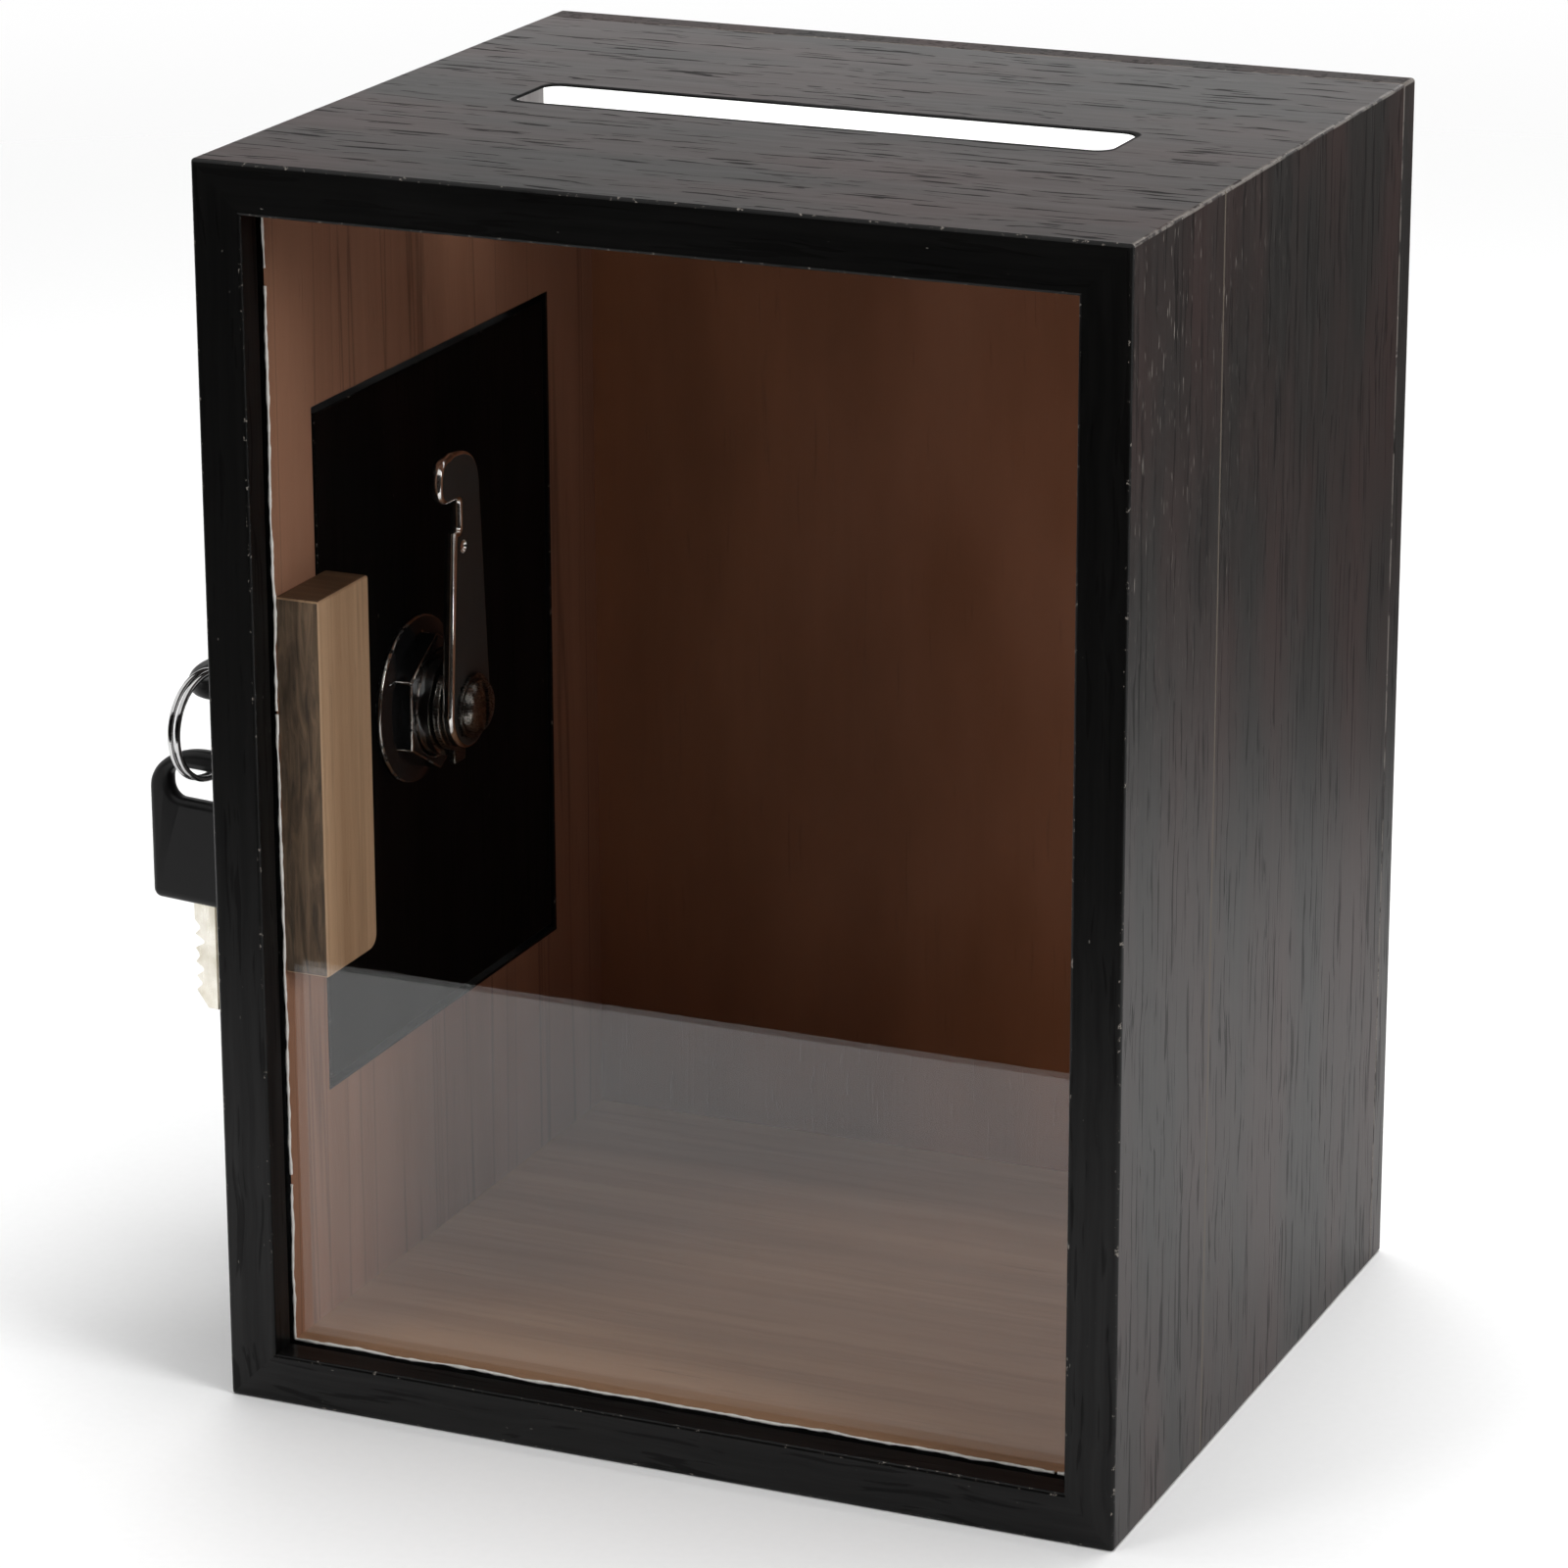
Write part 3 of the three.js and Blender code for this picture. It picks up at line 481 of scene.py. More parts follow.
def bare_wood(name, turn, shift, tones, streak_width, vein=0.12, cloudiness=0.0, streak=(0.4, 0.4)):
    """Bare planed wood, with soft bands along the grain and clouds over them.

    streak is a band's length in metres and how far it wanders. vein and cloudiness are the strengths of
    the thin dark lines in the bands and of the clouds.
    """
    material, shader = new_material(name)
    vector = place(shader, turn, shift)
    pores, tone, cloud = grouped(OPEN_GRAIN, vector, *BARE_PORES)
    stretch = (1 / streak[0], 1 / streak_width, 1 / streak_width)
    bands = cloudy(scaled(vector, stretch), detail=3.0, distortion=streak[1])
    wide = times(spread(bands, 0.32, 0.68), 0.65)
    share = calc("ADD", wide, times(tone, 0.35))
    off_line = calc("ABSOLUTE", less(bands, 0.5))
    veins = spread(off_line, 0.0, 0.018, 1.0, 0.0)
    base = mixed(share, *tones)
    for marks, strength, light in ((cloud, cloudiness, 0.72), (veins, vein, 0.45), (pores, 0.25, 0.5)):
        base = mixed(times(marks, strength), base, shade(tones[0], light))
    height = less(times(tone, 0.5), pores)
    feed(shader, Base_Color=base, Normal=bumped(height, 0.06 * MM, 0.6),
         Roughness=spread(cloud, 0.0, 1.0, 0.55, 0.72))
    return material


def coated(name, tones, rough, noise, relief=None, turn=ALONG_X, **constants):
    """A material whose tones and roughness follow one noise, over the relief of another.

    A noise is its scale along each axis and its detail. relief adds a depth and a strength to these.
    """
    material, shader = new_material(name, **constants)
    vector = place(shader, turn)
    scale, detail = noise
    pattern = cloudy(scaled(vector, scale), detail=detail)
    base = mixed(pattern, *tones)
    feed(shader, Base_Color=base, Roughness=ranged(pattern, *rough))
    # An emission strength makes the surface glow in its own tones, which is painted light
    if "Emission_Strength" in constants:
        feed(shader, Emission_Color=base)
    if relief:
        scale, detail, depth, strength = relief
        feed(shader, Normal=bumped(cloudy(scaled(vector, scale), detail=detail), depth, strength))
    return material


def acrylic():
    """Clear cast sheet with faint smears, which lets lamps' light through to the room."""
    material, shader = new_material(
        "clear_acrylic", Base_Color=SHEET_CLEAR, IOR=1.49, Transmission_Weight=1.0,
    )
    vector = scaled(place(shader, shift=(0.3, 0.1, 0.2)), (14, 14, 40))
    smears = cloudy(vector, detail=4.0, distortion=0.8)
    feed(shader, Roughness=spread(smears, 0.4, 0.7, 0.003, 0.02))
    path = add(material.node_tree, "ShaderNodeLightPath").outputs
    see_through(shader, calc("MAXIMUM", path["Is Shadow Ray"], path["Is Diffuse Ray"]), Color=SHEET_SHADOW)
    return material


def metal(name, tones, rough, scratch_turn=ALONG_X):
    """Plated metal with fine brushed scratches; rough is its smallest and largest roughness."""
    material, shader = new_material(name, Metallic=1.0)
    vector = place(shader, scratch_turn)
    brushed = cloudy(scaled(vector, (260, 5200, 5200)), detail=3.0)
    stains = spread(cloudy(vector, 260.0, detail=3.0), 0.35, 0.65)
    feed(shader, Base_Color=mixed(stains, *tones), Roughness=ranged(brushed, *rough),
         Normal=bumped(brushed, 0.008 * MM, 0.4))
    return material


def black_enamel(name, rough, wear_level=0.62):
    """Black enamel on steel, worn to the metal along its edges, more so at a lower wear level."""
    material, shader = new_material(name)
    vector = place(shader)
    worn = edge_wear_and_sheen(vector, ENAMEL_CHIP, wear_level)
    peel = cloudy(vector, 900.0)
    dust = cloudy(vector, 150.0, detail=4.0)
    base = mixed(worn, mixed(dust, *ENAMEL), ENAMEL_WORN)
    feed(shader, Base_Color=base, Metallic=worn, Roughness=ranged(dust, *rough),
         Normal=bumped(peel, 0.02 * MM, 0.5))
    return material


top_stain = stained_wood(
    # The top's line round the slot is painted shade, and it takes the coat's shine away there
    "stained_wood_top", ALONG_X, (0.11, 0.02, 0.31), LONG_PORES, line=(slot_edge_shade, PAINTED_SLOT_SHADE),
)
bottom_stain = stained_wood("stained_wood_bottom", ALONG_X, (0.47, 0.13, 0.05), LONG_PORES)
left_stain = stained_wood("stained_wood_left", ALONG_Z, (0.23, 0.51, 0.17), FINE_PORES, 0.66, 0.42)
right_stain = stained_wood(
    "stained_wood_right", ALONG_Z, (0.61, 0.07, 0.29), FINE_PORES, 0.54, 0.42,
    flecked=0.55, line=(board_joint, PALE_LINE),
)
back_stain = stained_wood("stained_wood_back", ALONG_Z, (0.09, 0.37, 0.71), FINE_PORES, 0.66, 0.42)
door_stain = filled_wood("stained_wood_door", ALONG_Z, (0.83, 0.21, 0.43), 0.08)
frame_level = filled_wood("stained_frame_level", ALONG_X, (0.35, 0.61, 0.27))
frame_upright = filled_wood("stained_frame_upright", ALONG_Z, (0.53, 0.29, 0.83))
bare_upright = bare_wood("bare_wood_upright", ALONG_Z, (0.05, 0.4, 0.12), BARE, 9 * MM, 0.6, 0.2)
bare_back = bare_wood("bare_wood_back", ALONG_Z, (0.42, 0.17, 0.52), BACK, 25 * MM, 0.03, 0.6)
bare_level = bare_wood("bare_wood_level", ALONG_X, (0.31, 0.22, 0.6), BARE, 9 * MM)
bare_floor = bare_wood("bare_wood_floor", ALONG_X, (0.14, 0.36, 0.24), FLOOR, 9 * MM)
block_wood = bare_wood("pale_block_wood", ALONG_Z, (0.7, 0.15, 0.33), BLOCK, 3 * MM, 0.3)
# The block's front face is sawn wood, darker partly as painted shade
block_sawn_shaded = bare_wood(
    "sawn_block_wood_painted_shade", ALONG_Z, (0.2, 0.45, 0.13), SAWN_AND_SHADED, 1.7 * MM, 0.3, streak=(0.011, 1.3),
)
block_end = bare_wood("block_end_grain", ALONG_X, (0.6, 0.11, 0.53), BLOCK_END, 1.5 * MM, 0.3)
# The slot's end walls carry a painted grey sheen like the top's
slot_end_sheen = bare_wood("slot_end_painted_sheen", ALONG_Z, (0.4, 0.3, 0.9), SLOT_END_SHEEN, 2 * MM)
# The slot's white walls also glow: painted light that keeps them bright
glowing_white_lacquer = coated(
    "slot_white_lacquer_glow", LACQUER_AND_GLOW, (0.35, 0.5), BRUSHED, (*BRUSHED, 0.03 * MM, 0.5), Emission_Strength=0.6,
)
clear_sheet = acrylic()
hinge_enamel = black_enamel("black_hinge_enamel", (0.32, 0.5))
nut_enamel = black_enamel("black_nut_enamel", (0.12, 0.22), 0.42)
bright_plate = metal("bright_nickel", NICKEL, (0.08, 0.2))
rim_plate = metal("polished_rim", POLISHED, (0.08, 0.2))
screw_plate = metal("dull_zinc", ZINC, (0.2, 0.36))
blade_plate = metal("key_nickel", KEY_NICKEL, (0.24, 0.4), ALONG_Z)
cam_dark = coated(
    "dark_cam_plate", CAM_PLATE, (0.34, 0.5), SMUDGES, (*ROLLED, 0.01 * MM, 0.5), ALONG_Z,
    Metallic=0.25,
)
head_plastic = coated(
    "black_key_plastic", KEY_BLACK, (0.3, 0.46), HANDLED, (*ERODED, 0.02 * MM, 0.35),
    Specular_IOR_Level=0.18,
)
glue_white = coated("dried_glue", GLUE, (0.35, 0.6), LUMPS, (*LUMPS, 0.05 * MM, 0.6))


# Mesh helpers

def cad_copy(*names):
    """A welded copy of CAD nodes, with their flat faces joined up."""
    bm = bmesh.new()
    for name in names:
        bm.from_mesh(nodes[name].data)
    bmesh.ops.remove_doubles(bm, verts=bm.verts, dist=WELD)
    bmesh.ops.dissolve_limit(bm, angle_limit=FLAT, verts=bm.verts, edges=bm.edges)
    return bm


def on(edge, axis, value):
    return all(abs(vert.co[axis] - value) < NEAR for vert in edge.verts)


def within(edge, low, high):
    return all(low[i] < vert.co[i] < high[i] for vert in edge.verts for i in range(3))


def every_edge(edge):
    return True


def convex(edge):
    return edge.is_convex


def arris_layer(bm):
    return bm.faces.layers.float.get("arris") or bm.faces.layers.float.new("arris")


def soften(bm, width, where=every_edge, segments=3, least=SHARP, clamped=True):
    """Rounds the sharp edges that where picks. The new faces are marked as arrises.

    clamped narrows the rounding where edges are short, which an outline of many small steps doesn't need.
    """
    layer = arris_layer(bm)
    edges = [e for e in bm.edges if e.is_manifold and e.calc_face_angle() > least and where(e)]
    made = bmesh.ops.bevel(
        bm, geom=edges, offset=width, segments=segments, profile=0.5, affect="EDGES",
        clamp_overlap=clamped,
    )
    for face in made["faces"]:
        if face.is_valid:
            face[layer] = 1.0
            face.smooth = True


def evaluated(obj):
    """obj's mesh with its modifiers, after which obj is removed."""
    mesh = bpy.data.meshes.new_from_object(obj.evaluated_get(bpy.context.evaluated_depsgraph_get()))
    bpy.data.objects.remove(obj)
    return mesh


def linked(name, data):
    obj = bpy.data.objects.new(name, data)
    scene.collection.objects.link(obj)
    return obj


def mesh_of(bm, name):
    mesh = bpy.data.meshes.new(name)
    bm.to_mesh(mesh)
    bm.free()
    return mesh


def combined(bm, tool, operation):
    """bm cut by, or cut to, the mesh object tool."""
    blank = linked("blank", mesh_of(bm, "blank"))
    modifier = blank.modifiers.new("combine", "BOOLEAN")
    modifier.object = tool
    modifier.operation = operation
    modifier.solver = "EXACT"
    result = bmesh.new()
    result.from_mesh(evaluated(blank))
    bmesh.ops.remove_doubles(result, verts=result.verts, dist=WELD)
    return result


def cut(bm, shape):
    """bm with a solid shape taken out of it."""
    tool = linked("tool", mesh_of(shape, "tool"))
    bm = combined(bm, tool, "DIFFERENCE")
    bpy.data.objects.remove(tool)
    return bm


def box_mesh(low, high, edge=0.0, segments=3):
    bm = bmesh.new()
    bmesh.ops.create_cube(bm, size=1.0)
    for vert in bm.verts:
        vert.co = [high[i] if vert.co[i] > 0 else low[i] for i in range(3)]
    if edge:
        soften(bm, edge, segments=segments)
    return bm


def arc(x, y, radius, start, end, steps):
    """Points of an arc, its angles in degrees."""
    turns = [math.radians(start + (end - start) * i / steps) for i in range(steps + 1)]
    return [(x + radius * math.cos(a), y + radius * math.sin(a)) for a in turns]


def turned(profile, centre, segments=64):
    """A solid from a profile of [distance along X, radius] corners, turned about a line along X."""
    bm = bmesh.new()
    verts = [bm.verts.new((centre.x + along, centre.y, centre.z + radius)) for along, radius in profile]
    edges = [bm.edges.new(pair) for pair in zip(verts, verts[1:])]
    if profile[0][1] > NEAR:
        edges.append(bm.edges.new((verts[-1], verts[0])))
    bmesh.ops.spin(bm, geom=verts + edges, cent=centre, axis=(1, 0, 0), angle=2 * math.pi, steps=segments)
    bmesh.ops.remove_doubles(bm, verts=bm.verts, dist=WELD)
    bmesh.ops.recalc_face_normals(bm, faces=bm.faces)
    for face in bm.faces:
        face.smooth = True
    return bm


def stand_in(mesh, name, materials, *replaced):
    """A piece that rides with the CAD nodes that it replaces and hides them."""
    if isinstance(mesh, bmesh.types.BMesh):
        mesh = mesh_of(mesh, name)
    if not mesh.materials:
        for material in materials:
            mesh.materials.append(material)
    obj = linked(name, mesh)
    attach(obj, nodes[replaced[0]]["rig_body"])
    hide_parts(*replaced)
    return obj


def fitting(mesh, name, materials, *replaced):
    """A stand-in that is smooth between its sharp edges, and flat on its large faces."""
    data = stand_in(mesh, name, materials, *replaced).data
    data.shade_smooth()
    data.set_sharp_from_angle(angle=SHARP)
    for face in data.polygons:
        if face.area > FLAT_AREA:
            face.use_smooth = False


# Geometry Nodes helpers

def geo(kind, inputs, **settings):
    return add(tree_of(*inputs.values()), "GeometryNode" + kind, inputs, **settings)


def end_tree(leave, geometry, material):
    """Ends a tree in real geometry with its material."""
    solid = geo("RealizeInstances", {"Geometry": geometry})
    feed(leave, Geometry=geo("SetMaterial", {"Geometry": solid, "Material": material}))


def wire_along(curve, sides, radius, **options):
    """A smooth round wire with closed ends along a curve."""
    profile = geo("CurvePrimitiveCircle", {"Resolution": sides, "Radius": radius}).outputs["Curve"]
    inputs = {"Curve": curve, "Profile Curve": profile, "Fill Caps": True}
    return geo("SetShadeSmooth", {"Geometry": geo("CurveToMesh", inputs | options)})


def grown(tree, base, values):
    """The mesh that a Geometry Nodes tree makes from the mesh base, with its named inputs set."""
    obj = linked("base", base)
    modifier = obj.modifiers.new("grow", "NODES")
    modifier.node_group = tree
    for item in tree.interface.items_tree:
        if item.in_out == "INPUT" and item.name in values:
            modifier[item.identifier] = values[item.name]
    return evaluated(obj)


def path_mesh(points):
    mesh = bpy.data.meshes.new("path")
    mesh.from_pydata(points, [(i, i + 1) for i in range(len(points) - 1)], [])
    return mesh


# Case boards

OUTSIDE, INSIDE, FRONT, SLOT_WALL, SLOT_TIP = range(5)  # places of a board's materials in its list


def case_block():
    """The whole case as one block with rounded arrises, which each board is cut to."""
    grow = Vector((NEAR, NEAR, NEAR))
    block = box_mesh(case_low - grow, case_high + grow, CASE_ARRIS, 4)
    return linked("case_block", mesh_of(block, "case_block"))


def board(node, name, materials, soft_edges, finish_of):
    """A board of the case. soft_edges lists settings of soften, and finish_of picks a face's material."""
    bm = cad_copy(node)
    for settings in soft_edges:
        soften(bm, *settings)
    bm = combined(bm, rounded_case, "INTERSECT")
    bm.normal_update()
    layer = arris_layer(bm)
    for face in bm.faces:
        slanted = max(abs(c) for c in face.normal) < 0.999 and face.calc_area() < MITRE_AREA
        face[layer] = 1.0 if slanted else 0.0
        face.smooth = slanted
        face.material_index = finish_of(face)
    return stand_in(bm, name, materials, node)


def frame_edges(axis, outer, inner):
    """A board's inner front arris and its seam with the back."""
    return [
        (FRAME_ARRIS, lambda e: on(e, 1, case_low.y) and on(e, axis, inner)),
        (SEAM, lambda e: on(e, 1, room_high.y) and on(e, axis, outer)),
    ]


def facing_room(axis, inner):
    """The inside finish on the faces that close the room, and the front's round the window."""
    def finish_of(face):
        centre = face.calc_center_median()
        flat = abs(face.normal[axis]) > AXIAL and abs(centre[axis] - inner) < NEAR
        if flat and centre.y > window_high.y:
            return INSIDE
        return FRONT if face.normal.y < -0.5 or centre.y < window_low.y else OUTSIDE
    return finish_of


def slot_cut(edge):
    level = on(edge, 2, case_high.z) or on(edge, 2, room_high.z)
    return level and within(edge, -SLOT_AREA, SLOT_AREA)


def top_finish(face):
    """White with a painted glow on the slot's long walls, grey end grain with a painted sheen on its ends, and
    stain on its rounded edges.
    """
    centre = face.calc_center_median()
    at_slot = abs(centre.x) < SLOT_LENGTH / 2 + MM and abs(centre.y) < SLOT_WIDTH / 2 + MM
    if at_slot and abs(face.normal.z) < 0.1:
        return SLOT_WALL if abs(face.normal.y) > 0.2 else SLOT_TIP
    if at_slot and abs(face.normal.z) < AXIAL:
        return OUTSIDE
    return facing_room(2, room_high.z)(face)


def door_cut(edge):
    low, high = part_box("access_door")
    level = on(edge, 0, case_low.x) or on(edge, 0, room_low.x)
    return level and within(edge, low - DOOR_REACH, high + DOOR_REACH)


def left_finish(face):
    """The front's finish in the door's opening too."""
    low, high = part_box("access_door")
    centre = face.calc_center_median()
    in_cut = all(low[i] - DOOR_REACH[i] < centre[i] < high[i] + DOOR_REACH[i] for i in (1, 2))
    if in_cut and abs(face.normal.x) < AXIAL:
        return FRONT
    return facing_room(0, room_low.x)(face)


rounded_case = case_block()
board("top_panel", "top_board", [top_stain, bare_level, frame_level, glowing_white_lacquer, slot_end_sheen],
      frame_edges(2, case_high.z, room_high.z) + [(CUT_ARRIS, slot_cut, 3, SHARP, False)], top_finish)
board("bottom_panel", "bottom_board", [bottom_stain, bare_floor, frame_level],
      frame_edges(2, case_low.z, room_low.z), facing_room(2, room_low.z))
board("left_side_panel", "left_board", [left_stain, bare_upright, frame_upright],
      frame_edges(0, case_low.x, room_low.x) + [(DOOR_ARRIS, door_cut)], left_finish)
board("right_side_panel", "right_board", [right_stain, bare_upright, frame_upright],
      frame_edges(0, case_high.x, room_high.x), facing_room(0, room_high.x))
board("back_panel", "back_board", [back_stain, bare_back, back_stain],
      [(SEAM, lambda e: on(e, 1, room_high.y))], facing_room(1, room_high.y))
bpy.data.objects.remove(rounded_case)


# Window, and the glue along its edges

GLUE_INSET = 0.1 * MM
GLUE_BEAD = {"Spacing": 0.6 * MM, "Radius": 0.24 * MM, "Wander": 0.9 * MM, "Gap level": 0.64}
GLUE_SIDES = 6
DRIFT_SCALE = 110.0
GAP_SCALE = 130.0
SWELL_SCALE = 420.0
SWELL = (0.45, 1.5)  # the bead's smallest and largest share of its radius


def bead_tree():
    """A broken, wandering bead along the edges of the geometry that comes in."""
    tree, enter, leave = geometry_group("Broken bead", Float=list(GLUE_BEAD))
    path, spacing, radius, wander, gap_level, material = enter
    curve = geo("MeshToCurve", {"Mesh": path})
    fine = geo("ResampleCurve", {"Curve": curve, "Length": spacing}, mode="LENGTH")
    edges = geo("CurveToMesh", {"Curve": fine})
    position = add(tree, "GeometryNodeInputPosition")
    noise = add(tree, "ShaderNodeTexNoise", {"Vector": position, "Scale": DRIFT_SCALE, "Detail": 4.0})
    half = (0.5, 0.5, 0.5)
    centred = add(tree, "ShaderNodeVectorMath", {0: noise.outputs[1], 1: half}, operation="SUBTRACT")
    offset = add(tree, "ShaderNodeVectorMath", {0: centred, "Scale": wander}, operation="SCALE")
    drifted = geo("SetPosition", {"Geometry": edges, "Offset": offset})
    gaps = calc("GREATER_THAN", cloudy(position, GAP_SCALE, detail=3.0), gap_level)
    broken = geo("DeleteGeometry", {"Geometry": drifted, "Selection": gaps}, domain="EDGE")
    runs = geo("MeshToCurve", {"Mesh": broken})
    swell = ranged(cloudy(position, SWELL_SCALE), *SWELL)
    end_tree(leave, wire_along(runs, GLUE_SIDES, radius, Scale=swell), material)
    return tree


def glue_line():
    """Glue in the corner between the window's back and the walls of the room."""
    y = window_high.y + GLUE_INSET
    left, right = room_low.x + GLUE_INSET, room_high.x - GLUE_INSET
    foot, top = room_low.z + GLUE_INSET, room_high.z - GLUE_INSET
    path = path_mesh([(left, y, top), (left, y, foot), (right, y, foot)])
    obj = linked("window_glue_line", grown(bead_tree(), path, GLUE_BEAD | {"Material": glue_white}))
    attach(obj, "case")


stand_in(box_mesh(window_low, window_high, SHEET_EDGE, 2), "window_sheet", [clear_sheet], "acrylic_window")
glue_line()


# Strike block and door

block_low, block_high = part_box("strike_block")
strike = box_mesh(block_low, block_high)
soften(strike, BLOCK_CORNER, lambda e: on(e, 1, block_high.y) and on(e, 2, block_low.z), 6)
soften(strike, BLOCK_ARRIS, segments=4)
for face in strike.faces:
    # The front face takes the darker sawn wood, which is partly painted shade
    if face.normal.y < -0.9:
        face.material_index = 1
    elif abs(face.normal.z) > 0.9:
        face.material_index = 2
stand_in(strike, "strike_block_wood", [block_wood, block_sawn_shaded, block_end], "strike_block")

door = cad_copy("access_door")
soften(door, DOOR_ARRIS, least=SQUARE)
door.normal_update()
for face in door.faces:
    face.material_index = 1 if face.normal.x > -0.1 else 0
stand_in(door, "door_board", [left_stain, door_stain], "access_door")


# Hinges and their screws

def screw_tree():
    """Domed slotted screws on the points that come in, with their heads towards -X."""
    tree, enter, leave = geometry_group("Slotted screws", Float=list(HINGE_SCREW), Int=["Seed"])
    points, radius, height, slot, shank_radius, shank_length, seed, material = enter
    ball = add(tree, "GeometryNodeMeshUVSphere", {"Segments": 28, "Rings": 16, "Radius": 1.0})
    dome = geo("Transform", {"Geometry": ball, "Scale": xyz(height, radius, radius)})
    head = geo("MeshBoolean", {"Mesh 1": dome}, operation="DIFFERENCE", solver="EXACT")
    wide = times(radius, 4.0)
    under = (xyz(wide, wide, wide), times(radius, 2.0))
    groove = (xyz(height, wide, slot), times(height, -1.0))
    for size, along in (under, groove):
        block = geo("MeshCube", {"Size": size})
        block = geo("Transform", {"Geometry": block, "Translation": xyz(along)})
        tree.links.new(block.outputs[0], head.inputs["Mesh 2"])
    rod = geo("MeshCylinder", {"Vertices": 20, "Radius": shank_radius, "Depth": shank_length})
    rod_place = xyz(times(shank_length, 0.5))
    rod = geo("Transform", {"Geometry": rod, "Translation": rod_place, "Rotation": (0.0, math.pi / 2, 0.0)})
    screw = add(tree, "GeometryNodeJoinGeometry")
    tree.links.new(head.outputs[0], screw.inputs[0])
    tree.links.new(rod.outputs[0], screw.inputs[0])
    turn = add(tree, "FunctionNodeRandomValue", {
        "Min": (0.0, 0.0, 0.0), "Max": (math.pi, 0.0, 0.0), "Seed": seed,
    }, data_type="FLOAT_VECTOR")
    placed = geo("InstanceOnPoints", {"Points": points, "Instance": screw, "Rotation": turn})
    end_tree(leave, placed, material)
    return tree


def hinge_screws(side, tree, seed):
    """The four screws of the leaves on one side, as one piece."""
    replaced = [f"hinge_screw_{side}_{i}" for i in range(1, 5)]
    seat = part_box(f"hinge_leaf_{side}_upper")[1].x - LEAF_SHEET
    points = [(seat, middle(node).y, middle(node).z) for node in replaced]
    values = HINGE_SCREW | {"Seed": seed, "Material": hinge_enamel}
    mesh = grown(tree, path_mesh(points), values)
    fitting(mesh, f"hinge_screws_{side}", [hinge_enamel], *replaced)


slotted_screws = screw_tree()
for number, side in enumerate(("wall", "door")):
    for height in ("upper", "lower"):
        node = f"hinge_leaf_{side}_{height}"
        leaf = cad_copy(node)
        soften(leaf, SHEET_EDGE, segments=2, least=LEAF_CORNER, clamped=False)
        fitting(leaf, f"hinge_{side}_{height}", [hinge_enamel], node)
    hinge_screws(side, slotted_screws, number)
for height in ("upper", "lower"):
    pin = cad_copy(f"hinge_pin_{height}")
    soften(pin, SHEET_EDGE, convex, 2, ROUND_SIDE)
    fitting(pin, f"hinge_pin_{height}_steel", [hinge_enamel], f"hinge_pin_{height}")


# Cam lock

lock_axis = Vector((0.0, middle("lock_housing").y, middle("lock_housing").z))
FLANGE = 2.0 * MM
FLANGE_ROUND = 1.2 * MM
BARREL_RADIUS = 9.0 * MM
BORE_RADIUS = 6.3 * MM
BORE_EASE = 0.4 * MM
CAM_SQUARE_REACH = 6.6 * MM  # from the axis to past the corners of the cam's square hole
CAM_DIMPLE_ALONG = 28.4 * MM
CAM_DIMPLE_ASIDE = 2.2 * MM
CAM_DIMPLE_RISE = 0.55 * MM  # from the cam's face to the middle of the ball that presses the dimple
CAM_DIMPLE_BALL = 1.265 * MM
CAM_SCREW_HEAD_RADIUS = 4.8 * MM
CAM_SCREW_SHANK_RADIUS = 2.0 * MM
CAM_SCREW_SLOT = 1.2 * MM
CAM_SCREW_SLOT_DEPTH = 1.0 * MM
CAM_SCREW_DOME = [math.radians(15 + 7.5 * i) for i in range(10)]  # angles of the dome's rings
CAM_SCREW_DOME_POWER = 0.6  # under 1 it has a flatter top and a rounder shoulder than a ball


def housing():
    """The flanged barrel: a rounded flange outside the door and a plain tube through it."""
    low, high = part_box("lock_housing")
    radius = (high.z - low.z) / 2
    flange_end = low.x + FLANGE
    rim = arc(low.x + FLANGE_ROUND, radius - FLANGE_ROUND, FLANGE_ROUND, 180, 90, 6)
    profile = [(low.x, BORE_RADIUS + BORE_EASE)] + rim + [
        (flange_end, radius), (flange_end, BARREL_RADIUS), (high.x, BARREL_RADIUS),
        (high.x, BORE_RADIUS), (low.x + BORE_EASE, BORE_RADIUS),
    ]
    return turned(profile, lock_axis, 96)


def cam_outline(edge):
    """Whether an edge is on the cam's outer outline, and not on the square hole round the axis."""
    low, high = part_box("lock_cam")
    flat = on(edge, 0, low.x) or on(edge, 0, high.x)
    return flat and all((vert.co - lock_axis).yz.length > CAM_SQUARE_REACH for vert in edge.verts)


def cam():
    """The hooked arm, with polished edges and a small pressed dimple near its notch."""
    bm = cad_copy("lock_cam")
    soften(bm, CAM_EDGE, cam_outline, segments=5, least=SQUARE, clamped=False)
    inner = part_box("lock_cam")[1].x
    spot = lock_axis + Vector((inner + CAM_DIMPLE_RISE, -CAM_DIMPLE_ASIDE, CAM_DIMPLE_ALONG))
    at_spot = Matrix.Translation(spot)
    ball = bmesh.new()
    bmesh.ops.create_icosphere(ball, subdivisions=4, radius=CAM_DIMPLE_BALL, matrix=at_spot)
    bm = cut(bm, ball)
    bm.normal_update()
    for face in bm.faces:
        face.material_index = 0 if abs(face.normal.x) > 0.98 else 1
    return bm


